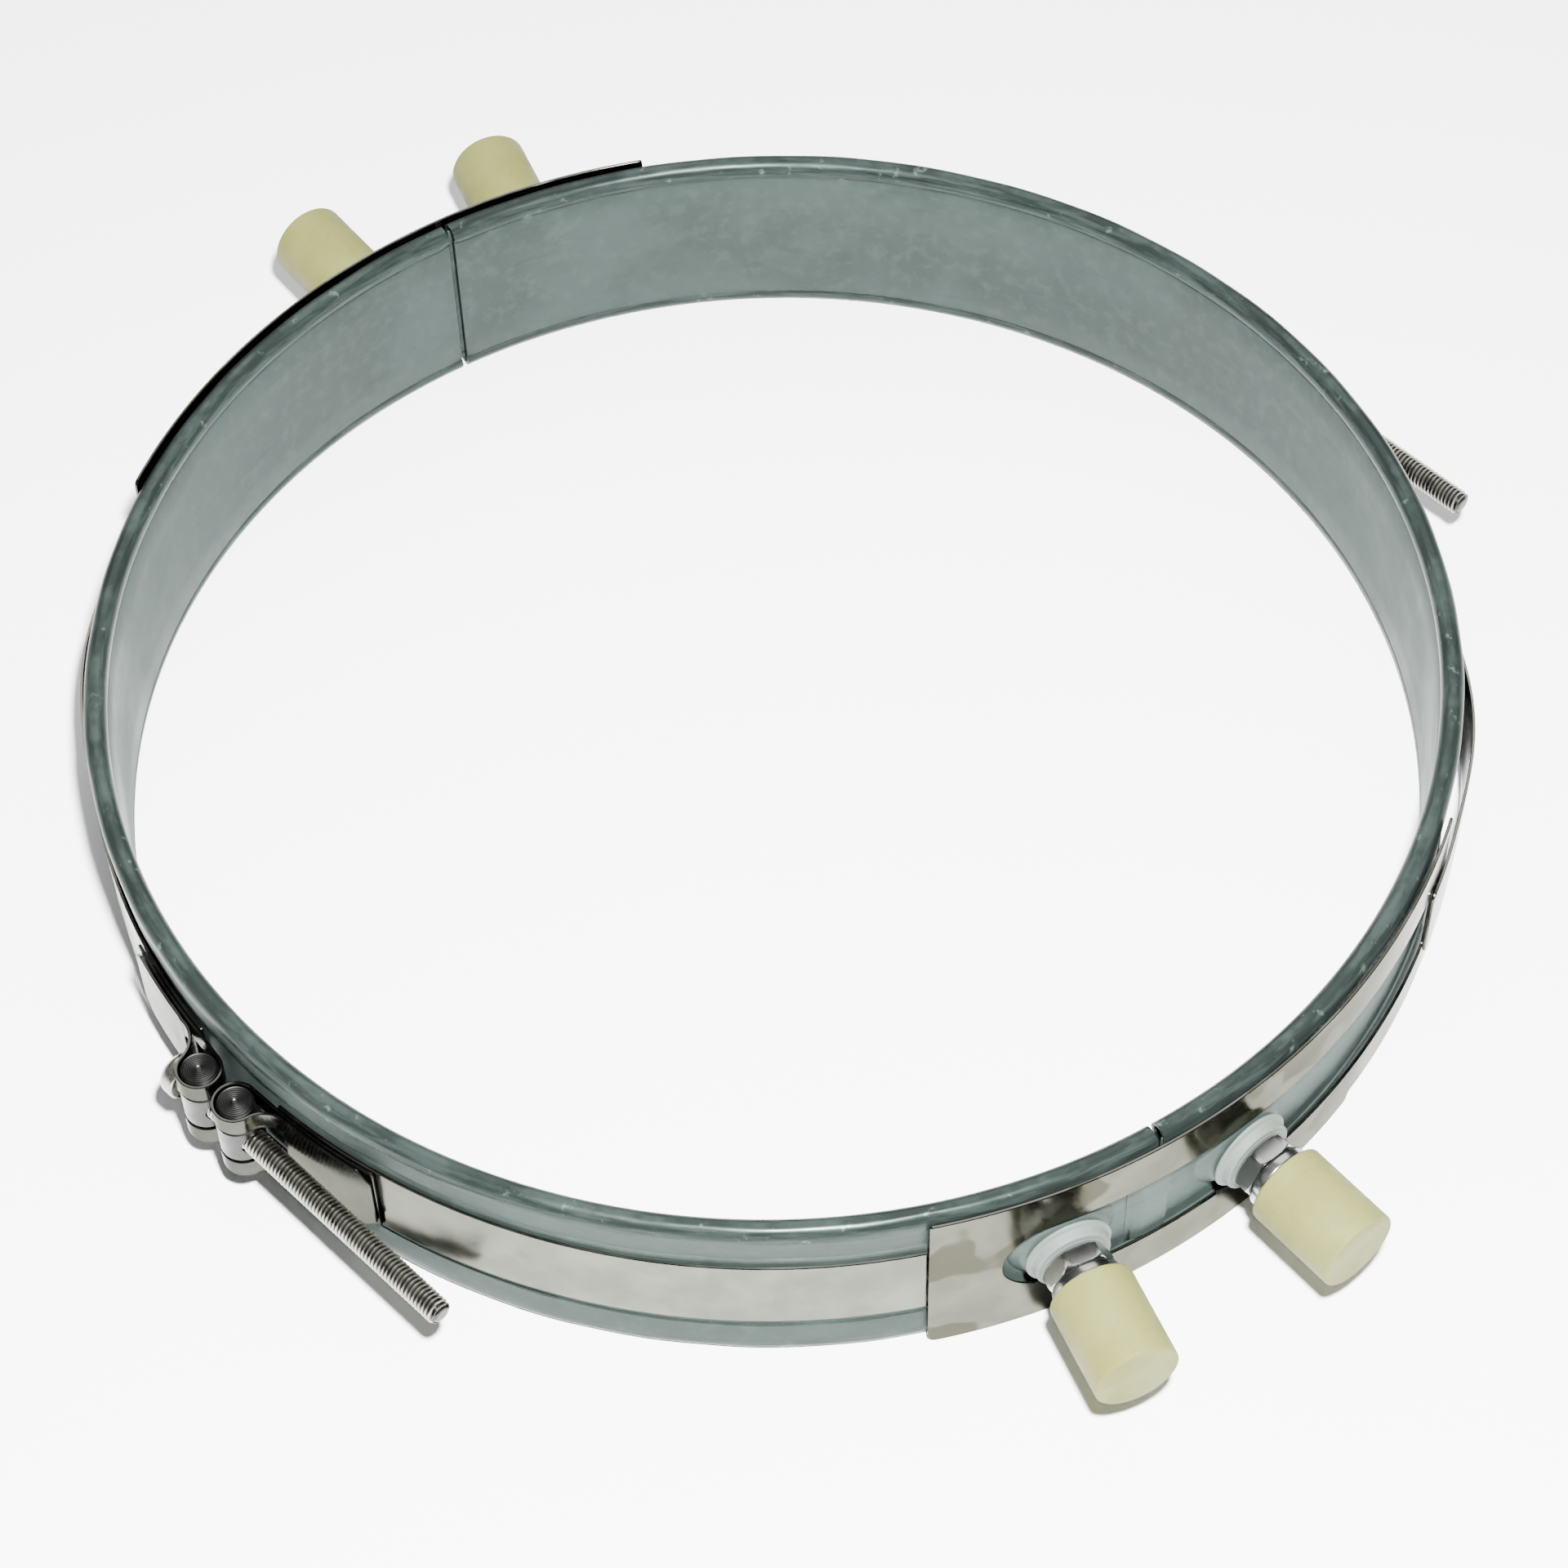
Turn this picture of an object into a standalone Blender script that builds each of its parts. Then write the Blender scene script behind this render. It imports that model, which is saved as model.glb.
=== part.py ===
"""Two-piece mica band heater with capped terminals and a strap drawn together by barrel-nut clamps.

The heated barrel runs along +Z through the ring, and the ring stands on z = 0. The strap pulls along Y,
with its clamps at -X and +X. Angles are measured from +X in the XY plane, in degrees.
"""

import math

import bmesh
import bpy
from mathutils import Matrix, Vector

MM = 0.001
OBJECT_NAME = "band_heater"

# Half shells: sheet, mica and winding in layers, outwards from the bore
BORE_R = 100.0 * MM
RING_WIDTH = 32.0 * MM
MID_Z = RING_WIDTH / 2
LINER_SHEET = 0.5 * MM
FOLD_R = 1.75 * MM
FOLD_STEPS = 5
FLANGE_R = BORE_R + 2 * FOLD_R
FLANGE_WIDTH = 6.5 * MM
LAYER_GAP = 0.12 * MM
MICA_SHEET = 0.3 * MM
WINDING_SHEET = 0.8 * MM
COVER_SHEET = 0.4 * MM
LAYER_MARGIN = 1.8 * MM
INNER_MICA_R = BORE_R + LINER_SHEET + LAYER_GAP
WINDING_R = INNER_MICA_R + MICA_SHEET + LAYER_GAP
OUTER_MICA_R = WINDING_R + WINDING_SHEET + LAYER_GAP
COVER_R = OUTER_MICA_R + MICA_SHEET + LAYER_GAP
COVER_OUT_R = COVER_R + COVER_SHEET

SPLIT_ANGLE = 77.0
SPLIT_GAP = 1.2 * MM
SHELL_STEPS = 36
HALF_GAP_ANGLE = math.degrees(SPLIT_GAP / 2 / FLANGE_R)

# Terminals: name, angle and the half shell each one stands on
TERMINALS = (
    ("front_left", -111.3, "left"),
    ("front_right", -94.4, "right"),
    ("rear_right", 68.1, "right"),
    ("rear_left", 83.5, "left"),
)
BOSS_BASE_R = 7.6 * MM
BOSS_TOP_R = 6.3 * MM
BOSS_TOP = COVER_OUT_R + 1.8 * MM
STUD_R = 2.45 * MM
STUD_HOLE_R = 2.75 * MM
STUD_HEAD_R = 5.0 * MM
STUD_HEAD = (COVER_R + 0.12 * MM, COVER_R + 1.2 * MM)
STUD_TIP = BORE_R + 21.0 * MM
STACK_GAP = 0.2 * MM
PALE_WASHER = (6.6 * MM, 2.2 * MM)
NUT_ACROSS_FLATS = 8.0 * MM
NUT_HEIGHT = 3.0 * MM
COLLAR = (4.7 * MM, 1.6 * MM)
CAP_R = 6.4 * MM
CAP_LENGTH = 15.0 * MM
CAP_EDGE = 0.7 * MM
INSERT_R = 4.0 * MM
INSERT_LENGTH = 9.0 * MM

# Strap pieces, terminal plates and their window
STRAP_WIDTH = 14.4 * MM
STRAP_SHEET = 0.5 * MM
STRAP_R = COVER_OUT_R + 0.32 * MM
STRAP_OUT_R = STRAP_R + STRAP_SHEET
PLATE_SHEET = 0.5 * MM
PLATE_R = FLANGE_R + 0.6 * MM
PLATE_MARGIN = 0.4 * MM
PLATE_ANGLES = (-122.5, -63.0)
WINDOW_HEIGHT = 14.6 * MM
WINDOW_ANGLES = (-112.6, -66.8)
NOTCH_ANGLE = -81.0
NOTCH_HEIGHT = 2.0 * MM
STRAP_OVERLAP_ANGLE = 4.0
STRAP_BULGE_R = 105.8 * MM
STRAP_BULGE_ANGLES = (-61.0, -50.0, -30.0)
OUTSIDE_STRAP_R = PLATE_R + PLATE_SHEET + 0.2 * MM

# Clamps: barrels held in folded loops, drawn together by a screw
SCREW_X = {"left": 107.2 * MM, "right": 106.7 * MM}
CLAMP_DROP = {"left": 0.0, "right": 1.9 * MM}
BARREL_Y = {
    "front": {"left": -0.4 * MM, "right": -4.2 * MM},
    "rear": {"left": 7.6 * MM, "right": 3.8 * MM},
}
BARREL_R = 2.8 * MM
BARREL_LENGTH = 14.4 * MM
BARREL_BODY_R = 3.4 * MM
BARREL_BODY_LENGTH = 7.1 * MM
BARREL_HOLE_R = 2.15 * MM
LOOP_SHEET = 0.5 * MM
LOOP_R = BARREL_R + 0.2 * MM + LOOP_SHEET / 2
LOOP_END_ANGLE = 10.0
TAB_LENGTH = 23.0 * MM
TAB_GAP = 0.15 * MM
SLOT_HEIGHT = 7.6 * MM
SLOT_HALF_EYE = 4.0 * MM
SLOT_OUTER = 5.5 * MM
STRAP_END_FROM_BARREL = 4.8 * MM
SCREW_R = 1.95 * MM
SCREW_LENGTH = 55.0 * MM
SCREW_HEAD_R = 3.5 * MM
SCREW_HEAD_HEIGHT = 3.6 * MM
HEAD_SEAT_FROM_BARREL = BARREL_BODY_R + 0.3 * MM


def clear_scene():
    for obj in list(bpy.data.objects):
        bpy.data.objects.remove(obj, do_unlink=True)


def new_collection(name, hidden=False):
    collection = bpy.data.collections.new(name)
    collection.hide_render = hidden
    bpy.context.scene.collection.children.link(collection)
    return collection


def make_material(name, color, metallic, roughness):
    material = bpy.data.materials.new(name)
    material.use_nodes = True
    shader = material.node_tree.nodes["Principled BSDF"]
    shader.inputs["Base Color"].default_value = (*color, 1.0)
    shader.inputs["Metallic"].default_value = metallic
    shader.inputs["Roughness"].default_value = roughness
    material.diffuse_color = (*color, 1.0)
    return material


def add_object(name, mesh_builder, material=None, matrix=None):
    """Puts a filled bmesh in the scene, as a part when it has a material and as a cutter when it has none."""
    mesh = bpy.data.meshes.new(name)
    mesh_builder.to_mesh(mesh)
    mesh_builder.free()
    obj = bpy.data.objects.new(name, mesh)
    if material is None:
        cutters.objects.link(obj)
        obj.hide_render = True
        obj.display_type = "WIRE"
    else:
        parts.objects.link(obj)
        mesh.materials.append(material)
    if matrix is not None:
        obj.matrix_world = matrix
    return obj


def add_pivot(name, location, parent=None):
    """An empty on a body's joint axis, which the body's pieces hang from."""
    pivot = bpy.data.objects.new(name, None)
    parts.objects.link(pivot)
    pivot.empty_display_size = 10 * MM
    pivot.matrix_world = Matrix.Translation(location)
    if parent is not None:
        pivot.parent = parent
        pivot.matrix_parent_inverse = parent_world(parent).inverted()
    return pivot


def parent_world(pivot):
    bpy.context.view_layer.update()
    return pivot.matrix_world


def hang(obj, pivot):
    obj.parent = pivot
    obj.matrix_parent_inverse = parent_world(pivot).inverted()


def boolean(obj, tool, operation="DIFFERENCE"):
    modifier = obj.modifiers.new(f"{operation.lower()}_{tool.name}", "BOOLEAN")
    modifier.operation = operation
    modifier.solver = "EXACT"
    modifier.object = tool


def solidify(obj, thickness):
    modifier = obj.modifiers.new("sheet", "SOLIDIFY")
    modifier.thickness = thickness
    modifier.offset = 0.0
    modifier.use_even_offset = True


def polar(radius, angle):
    return Vector((radius * math.cos(math.radians(angle)), radius * math.sin(math.radians(angle))))


def spaced(start, end, steps):
    return [start + (end - start) * i / steps for i in range(steps + 1)]


def arc(radius, start, end, steps, centre=(0.0, 0.0)):
    return [Vector(centre) + polar(radius, angle) for angle in spaced(start, end, steps)]


def eased(start, end, share):
    """From start to end, level at both."""
    share = min(max(share, 0.0), 1.0)
    return start + (end - start) * share * share * (3 - 2 * share)


def ribbon(name, path, z_range, thickness, material=None, drop=0.0):
    """A sheet standing on edge along a path in the XY plane, its middle on the path. It may sink on its way."""
    shape = bmesh.new()
    low = []
    for index, (x, y) in enumerate(path):
        sunk = eased(0.0, drop, index / (len(path) - 1) / 0.75)
        low.append(shape.verts.new((x, y, z_range[0] - sunk)))
    edges = [shape.edges.new(pair) for pair in zip(low, low[1:])]
    raised = bmesh.ops.extrude_edge_only(shape, edges=edges)["geom"]
    lifted = [item for item in raised if isinstance(item, bmesh.types.BMVert)]
    bmesh.ops.translate(shape, verts=lifted, vec=(0.0, 0.0, z_range[1] - z_range[0]))
    bmesh.ops.recalc_face_normals(shape, faces=shape.faces)
    obj = add_object(name, shape, material)
    solidify(obj, thickness)
    return obj


def revolved(name, profile, steps, material=None, matrix=None):
    """A solid turned round local Z from a profile of (radius, height) points."""
    shape = bmesh.new()
    corners = [shape.verts.new((radius, 0.0, height)) for radius, height in profile]
    for pair in zip(corners, corners[1:]):
        shape.edges.new(pair)
    if min(profile[0][0], profile[-1][0]) > 0:
        shape.edges.new((corners[-1], corners[0]))
    obj = add_object(name, shape, material, matrix)
    turn = obj.modifiers.new("turn", "SCREW")
    turn.steps = steps
    turn.render_steps = steps
    turn.use_merge_vertices = True
    turn.merge_threshold = 0.01 * MM
    turn.use_smooth_shade = True
    return obj


def prism(name, radius, z_range, sides, material=None, matrix=None, top_radius=None):
    shape = bmesh.new()
    bmesh.ops.create_cone(
        shape,
        cap_ends=True,
        segments=sides,
        radius1=radius,
        radius2=radius if top_radius is None else top_radius,
        depth=z_range[1] - z_range[0],
        matrix=Matrix.Translation((0.0, 0.0, (z_range[0] + z_range[1]) / 2)),
    )
    return add_object(name, shape, material, matrix)


def box(name, low, high):
    shape = bmesh.new()
    size = Vector(high) - Vector(low)
    centre = (Vector(high) + Vector(low)) / 2
    bmesh.ops.create_cube(shape, size=1.0, matrix=Matrix.LocRotScale(centre, None, size))
    return add_object(name, shape)


def ring_profile(inner, outer, low, high, edge):
    """A round washer or collar, its outer edges broken."""
    return (
        (inner, high),
        (outer - edge, high),
        (outer, high - edge),
        (outer, low + edge),
        (outer - edge, low),
        (inner, low),
    )


def radial(angle):
    """Turns local Z to point outwards at an angle, from the ring's axis at mid height."""
    turn = Matrix.Rotation(math.radians(angle), 4, "Z") @ Matrix.Rotation(math.radians(90), 4, "Y")
    return Matrix.Translation((0.0, 0.0, MID_Z)) @ turn


def shell_angles(side):
    start = SPLIT_ANGLE - 180 if side == "right" else SPLIT_ANGLE
    return start + HALF_GAP_ANGLE, start + 180 - HALF_GAP_ANGLE


def make_liner(side):
    """The sheet against the barrel, its edges folded back over the outside as flanges, with a flat to rest on."""
    fold_centre_r = BORE_R + FOLD_R
    fold_step = 180 / FOLD_STEPS
    sheet_r = (FOLD_R - LINER_SHEET / 2) / math.cos(math.radians(fold_step / 2))
    top_fold = arc(sheet_r, 0, 180, FOLD_STEPS, (fold_centre_r, RING_WIDTH - FOLD_R))
    bottom_fold = arc(sheet_r, 180, 360, FOLD_STEPS, (fold_centre_r, FOLD_R))
    flange_r = fold_centre_r + sheet_r
    profile = [
        Vector((flange_r, RING_WIDTH - FLANGE_WIDTH)),
        *top_fold,
        *bottom_fold,
        Vector((flange_r, FLANGE_WIDTH)),
    ]
    start, end = shell_angles(side)
    shape = bmesh.new()
    corners = [shape.verts.new((radius, 0.0, height)) for radius, height in profile]
    edges = [shape.edges.new(pair) for pair in zip(corners, corners[1:])]
    bmesh.ops.rotate(
        shape, verts=corners, cent=(0, 0, 0), matrix=Matrix.Rotation(math.radians(start), 3, "Z")
    )
    bmesh.ops.spin(
        shape,
        geom=corners + edges,
        cent=(0, 0, 0),
        axis=(0, 0, 1),
        angle=math.radians(end - start),
        steps=SHELL_STEPS,
    )
    bmesh.ops.recalc_face_normals(shape, faces=shape.faces)
    liner = add_object(f"{side}_shell_liner", shape, galvanised)
    solidify(liner, LINER_SHEET)
    return liner


def make_layer(name, side, radius, thickness, material, inset_steps=1):
    """One curved layer of the shell's filling, which stops short of the split."""
    start, end = shell_angles(side)
    step = (end - start) / SHELL_STEPS
    count = SHELL_STEPS - 2 * inset_steps
    path = arc(radius + thickness / 2, start + inset_steps * step, end - inset_steps * step, count)
    return ribbon(name, path, (LAYER_MARGIN, RING_WIDTH - LAYER_MARGIN), thickness, material)


def make_cover(side):
    """The outer sheet between the flanges, with a hollow boss pressed out under each terminal."""
    cover = make_layer(f"{side}_shell_cover", side, COVER_R, COVER_SHEET, galvanised, 0)
    wall = COVER_SHEET
    for place, angle, owner in TERMINALS:
        if owner != side:
            continue
        out = radial(angle)
        boss = prism(
            f"{place}_boss", BOSS_BASE_R, (COVER_R + wall / 2, BOSS_TOP), 28, None, out, BOSS_TOP_R
        )
        hollow = prism(
            f"{place}_boss_hollow",
            BOSS_BASE_R - wall,
            (COVER_R - wall, BOSS_TOP - wall),
            28,
            None,
            out,
            BOSS_TOP_R - wall,
        )
        hole = prism(f"{place}_boss_hole", STUD_HOLE_R, (COVER_R, BOSS_TOP + wall), 24, None, out)
        boolean(cover, boss, "UNION")
        boolean(cover, hollow)
        boolean(cover, hole)
    return cover


def make_shell(side, pivot):
    pieces = [
        make_liner(side),
        make_layer(f"{side}_inner_mica", side, INNER_MICA_R, MICA_SHEET, mica),
        make_layer(f"{side}_winding", side, WINDING_R, WINDING_SHEET, resistance_alloy),
        make_layer(f"{side}_outer_mica", side, OUTER_MICA_R, MICA_SHEET, mica),
        make_cover(side),
    ]
    for piece in pieces:
        hang(piece, pivot)


def make_nut(name, low, high, matrix):
    """A hexagon nut with turned corners."""
    corner_r = NUT_ACROSS_FLATS / 2 / math.cos(math.radians(30))
    nut = prism(name, corner_r, (low, high), 6, plated_steel, matrix)
    turned = revolved(
        f"{name}_turning",
        (
            (0.0, high),
            (NUT_ACROSS_FLATS / 2, high),
            (corner_r + 0.1 * MM, high - 0.45 * MM),
            (corner_r + 0.1 * MM, low + 0.45 * MM),
            (NUT_ACROSS_FLATS / 2, low),
            (0.0, low),
        ),
        24,
        None,
        matrix,
    )
    bore = prism(f"{name}_bore", STUD_HOLE_R, (low - 1 * MM, high + 1 * MM), 20, None, matrix)
    boolean(nut, turned, "INTERSECT")
    boolean(nut, bore)
    return nut


def make_cap(name, low, matrix):
    """A ceramic cap, blind at its outer end, round the insert that screws onto the stud."""
    high = low + CAP_LENGTH
    socket_r = INSERT_R + 0.2 * MM
    socket_end = low + INSERT_LENGTH + 1.0 * MM
    profile = (
        (0.0, high),
        (CAP_R - CAP_EDGE, high),
        (CAP_R - 0.3 * CAP_EDGE, high - 0.3 * CAP_EDGE),
        (CAP_R, high - CAP_EDGE),
        (CAP_R, low + CAP_EDGE),
        (CAP_R - CAP_EDGE, low),
        (socket_r, low),
        (socket_r, socket_end),
        (0.0, socket_end),
    )
    return revolved(name, profile, 32, ceramic, matrix)


def make_terminal(place, angle, shell_pivot):
    """A stud through the boss with everything stacked on it. The cap turns, and its insert draws it off."""
    out = radial(angle)
    washer_r, washer_height = PALE_WASHER
    collar_r, collar_height = COLLAR
    washer_low = BOSS_TOP + STACK_GAP
    nut_low = washer_low + washer_height + STACK_GAP
    collar_low = nut_low + NUT_HEIGHT + STACK_GAP
    cap_low = collar_low + collar_height + STACK_GAP
    insert_low = cap_low + 0.4 * MM

    stud_profile = (
        (0.0, STUD_TIP),
        (STUD_R - 0.5 * MM, STUD_TIP),
        (STUD_R, STUD_TIP - 0.5 * MM),
        (STUD_R, STUD_HEAD[1]),
        (STUD_HEAD_R, STUD_HEAD[1]),
        (STUD_HEAD_R, STUD_HEAD[0]),
        (0.0, STUD_HEAD[0]),
    )
    stud = revolved(f"{place}_stud", stud_profile, 20, plated_steel, out)
    washer = revolved(
        f"{place}_pale_washer",
        ring_profile(STUD_HOLE_R, washer_r, washer_low, washer_low + washer_height, 0.4 * MM),
        28,
        pale_insulation,
        out,
    )
    nut = make_nut(f"{place}_nut", nut_low, nut_low + NUT_HEIGHT, out)
    collar = revolved(
        f"{place}_collar",
        ring_profile(STUD_HOLE_R, collar_r, collar_low, collar_low + collar_height, 0.35 * MM),
        24,
        plated_steel,
        out,
    )
    for piece in (stud, washer, nut, collar):
        hang(piece, shell_pivot)

    insert_pivot = add_pivot(f"{place}_insert_slide", out.translation, shell_pivot)
    insert = revolved(
        f"{place}_cap_insert",
        ring_profile(STUD_HOLE_R, INSERT_R, insert_low, insert_low + INSERT_LENGTH, 0.3 * MM),
        20,
        plated_steel,
        out,
    )
    hang(insert, insert_pivot)
    cap_pivot = add_pivot(f"{place}_cap_turn", out.translation, insert_pivot)
    hang(make_cap(f"{place}_cap", cap_low, out), cap_pivot)


def strap_z(middle=MID_Z):
    return middle - STRAP_WIDTH / 2, middle + STRAP_WIDTH / 2


def angle_at_y(radius, y):
    return math.degrees(math.asin(y / radius))


def make_strap_pieces(end, half_turn, pivot):
    """The two strap pieces of one half. One runs under its plate's end, the other over it and off the band."""
    middle = STRAP_R + STRAP_SHEET / 2
    sides = ("left", "right") if end == "front" else ("right", "left")
    under_angle, over_angle = (
        angle_at_y(middle, abs(BARREL_Y[end][side]) + STRAP_END_FROM_BARREL) for side in sides
    )
    under_path = arc(middle, PLATE_ANGLES[0] + STRAP_OVERLAP_ANGLE, under_angle - 180, 18)
    over_middle = OUTSIDE_STRAP_R + STRAP_SHEET / 2
    leaves, crest, lands = STRAP_BULGE_ANGLES
    over_path = []
    for angle in spaced(PLATE_ANGLES[1] - STRAP_OVERLAP_ANGLE - 1.0, -over_angle, 24):
        if angle < crest:
            radius = eased(over_middle, STRAP_BULGE_R, (angle - leaves) / (crest - leaves))
        else:
            radius = eased(STRAP_BULGE_R, middle, (angle - crest) / (lands - crest))
        over_path.append(polar(radius, angle))
    turn = Matrix.Rotation(math.radians(half_turn), 2)
    for side, path in zip(sides, (under_path, over_path)):
        name, turned = f"{end}_{side}_strap", [turn @ point for point in path]
        hang(ribbon(name, turned, strap_z(), STRAP_SHEET, stainless, CLAMP_DROP[side]), pivot)


def make_plate(end, half_turn, pivot):
    """The wide plate that joins two strap pieces, its window open round both terminals."""
    middle = PLATE_R + PLATE_SHEET / 2
    cut_depth = 8 * MM
    turn = Matrix.Rotation(math.radians(half_turn), 2)

    def turned_arc(start, finish, steps):
        return [turn @ point for point in arc(middle, start, finish, steps)]

    z_range = (PLATE_MARGIN, RING_WIDTH - PLATE_MARGIN)
    plate = ribbon(
        f"{end}_terminal_plate", turned_arc(*PLATE_ANGLES, 20), z_range, PLATE_SHEET, stainless
    )
    window_z = (MID_Z - WINDOW_HEIGHT / 2, MID_Z + WINDOW_HEIGHT / 2)
    window = ribbon(f"{end}_window", turned_arc(*WINDOW_ANGLES, 16), window_z, cut_depth)
    round_end = prism(
        f"{end}_window_end",
        WINDOW_HEIGHT / 2,
        (middle - cut_depth / 2, middle + cut_depth / 2),
        28,
        None,
        radial(WINDOW_ANGLES[0] + half_turn),
    )
    notch_z = (0.0, PLATE_MARGIN + NOTCH_HEIGHT)
    notch_path = turned_arc(NOTCH_ANGLE, PLATE_ANGLES[1] + 2.0, 8)
    notch = ribbon(f"{end}_plate_notch", notch_path, notch_z, cut_depth)
    for tool in (window, round_end, notch):
        boolean(plate, tool)
    hang(plate, pivot)


def loop_path(barrel_y, away, side):
    """The folded tab: along the strap, round the barrel and back over itself, in the XY plane."""
    inner_r = STRAP_OUT_R + TAB_GAP + LOOP_SHEET / 2
    outer_r = inner_r + LOOP_SHEET + TAB_GAP
    end_y = barrel_y + away * TAB_LENGTH
    near_y = barrel_y + away * 6.0 * MM
    inner_leg = arc(inner_r, angle_at_y(inner_r, end_y), angle_at_y(inner_r, near_y), 6)

    centre = Vector((SCREW_X[side], barrel_y))
    turn_end = math.radians(LOOP_END_ANGLE)
    wrap = []
    for angle in spaced(-95.0, LOOP_END_ANGLE - 360.0, 14):
        along, outward = LOOP_R * math.cos(math.radians(angle)), LOOP_R * math.sin(math.radians(angle))
        wrap.append(centre + Vector((outward, away * along)))

    leg_x = math.sqrt(outer_r**2 - (barrel_y + away * 7.5 * MM) ** 2)
    inset = leg_x - centre.x
    back_r = (LOOP_R * math.sin(turn_end) - inset) / (1 - math.sin(turn_end))
    back_centre = (LOOP_R + back_r) * Vector((math.sin(turn_end), math.cos(turn_end)))
    back = []
    for angle in spaced(180.0 + LOOP_END_ANGLE, 270.0, 5)[1:]:
        along = back_centre.y + back_r * math.cos(math.radians(angle))
        outward = back_centre.x + back_r * math.sin(math.radians(angle))
        back.append(centre + Vector((outward, away * along)))

    leg_start = angle_at_y(outer_r, back[-1].y)
    outer_leg = arc(outer_r, leg_start, angle_at_y(outer_r, end_y), 6)[1:]
    mirror = 1 if side == "right" else -1
    return [Vector((mirror * x, y)) for x, y in (*inner_leg, *wrap, *back, *outer_leg)]


def make_clamp_end(end, side, pivot):
    """A folded loop, slotted for the screw, and the cross-drilled barrel that swivels in it."""
    away = -1 if end == "front" else 1
    mirror = 1 if side == "right" else -1
    centre = Vector((mirror * SCREW_X[side], BARREL_Y[end][side], MID_Z - CLAMP_DROP[side]))
    passage_depth = 2.8 * MM if end == "front" else 3.75 * MM
    passage_reach = 12.0 * MM if end == "front" else 13.0 * MM
    path = loop_path(centre.y, away, side)
    loop = ribbon(f"{end}_{side}_loop", path, strap_z(centre.z), LOOP_SHEET, stainless)
    for use, depth, reach in (
        ("eye", SLOT_HALF_EYE + 0.2 * MM, SLOT_HALF_EYE),
        ("passage", passage_depth, passage_reach),
    ):
        slot_x = sorted((centre.x - mirror * depth, centre.x + mirror * SLOT_OUTER))
        slot_y = sorted((centre.y - away * SLOT_HALF_EYE, centre.y + away * reach))
        slot = box(
            f"{end}_{side}_loop_{use}",
            (slot_x[0], slot_y[0], centre.z - SLOT_HEIGHT / 2),
            (slot_x[1], slot_y[1], centre.z + SLOT_HEIGHT / 2),
        )
        boolean(loop, slot)
    hang(loop, pivot)

    half = BARREL_LENGTH / 2
    body_half = BARREL_BODY_LENGTH / 2
    edge = 0.3 * MM
    barrel = revolved(
        f"{end}_{side}_barrel",
        (
            (0.0, half),
            (BARREL_R - edge, half),
            (BARREL_R, half - edge),
            (BARREL_R, body_half),
            (BARREL_BODY_R - edge, body_half),
            (BARREL_BODY_R, body_half - edge),
            (BARREL_BODY_R, edge - body_half),
            (BARREL_BODY_R - edge, -body_half),
            (BARREL_R, -body_half),
            (BARREL_R, edge - half),
            (BARREL_R - edge, -half),
            (0.0, -half),
        ),
        24,
        turned_steel,
        Matrix.Translation(centre),
    )
    along_y = Matrix.Translation(centre) @ Matrix.Rotation(math.radians(-90), 4, "X")
    hole = prism(f"{end}_{side}_barrel_hole", BARREL_HOLE_R, (-5 * MM, 5 * MM), 20, None, along_y)
    boolean(barrel, hole)
    swivel = add_pivot(f"{end}_{side}_barrel_swivel", centre, pivot)
    hang(barrel, swivel)


def make_screw(side, pivot):
    """A slotted cheese-head screw. Its head bears on the rear barrel and its tip points to the front."""
    mirror = 1 if side == "right" else -1
    seat_y = BARREL_Y["rear"][side] + HEAD_SEAT_FROM_BARREL
    seat = Vector((mirror * SCREW_X[side], seat_y, MID_Z - CLAMP_DROP[side]))
    along_y = Matrix.Translation(seat) @ Matrix.Rotation(math.radians(-90), 4, "X")
    top = SCREW_HEAD_HEIGHT
    profile = (
        (0.0, top),
        (SCREW_HEAD_R - 0.8 * MM, top),
        (SCREW_HEAD_R - 0.2 * MM, top - 0.3 * MM),
        (SCREW_HEAD_R, top - 0.9 * MM),
        (SCREW_HEAD_R, 0.0),
        (SCREW_R, 0.0),
        (SCREW_R, -SCREW_LENGTH + 0.5 * MM),
        (SCREW_R - 0.5 * MM, -SCREW_LENGTH),
        (0.0, -SCREW_LENGTH),
    )
    screw = revolved(f"{side}_clamp_screw", profile, 24, plated_steel, along_y)
    slot = box(
        f"{side}_screw_slot",
        (seat.x - 5 * MM, seat.y + top - 1.2 * MM, seat.z - 0.5 * MM),
        (seat.x + 5 * MM, seat.y + top + 1 * MM, seat.z + 0.5 * MM),
    )
    boolean(screw, slot)
    turn = add_pivot(f"{side}_screw_turn", seat, pivot)
    hang(screw, turn)


def make_strap_half(end, half_turn, parent):
    """One half of the strap: its plate, two strap pieces, and a loop with a barrel at each clamp."""
    pivot = add_pivot(f"{end}_strap_slide", (0.0, 0.0, MID_Z), parent)
    make_plate(end, half_turn, pivot)
    make_strap_pieces(end, half_turn, pivot)
    for side in ("left", "right"):
        make_clamp_end(end, side, pivot)
    return pivot


clear_scene()
parts = new_collection(OBJECT_NAME)
cutters = new_collection(f"{OBJECT_NAME}_cutters", hidden=True)

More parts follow.
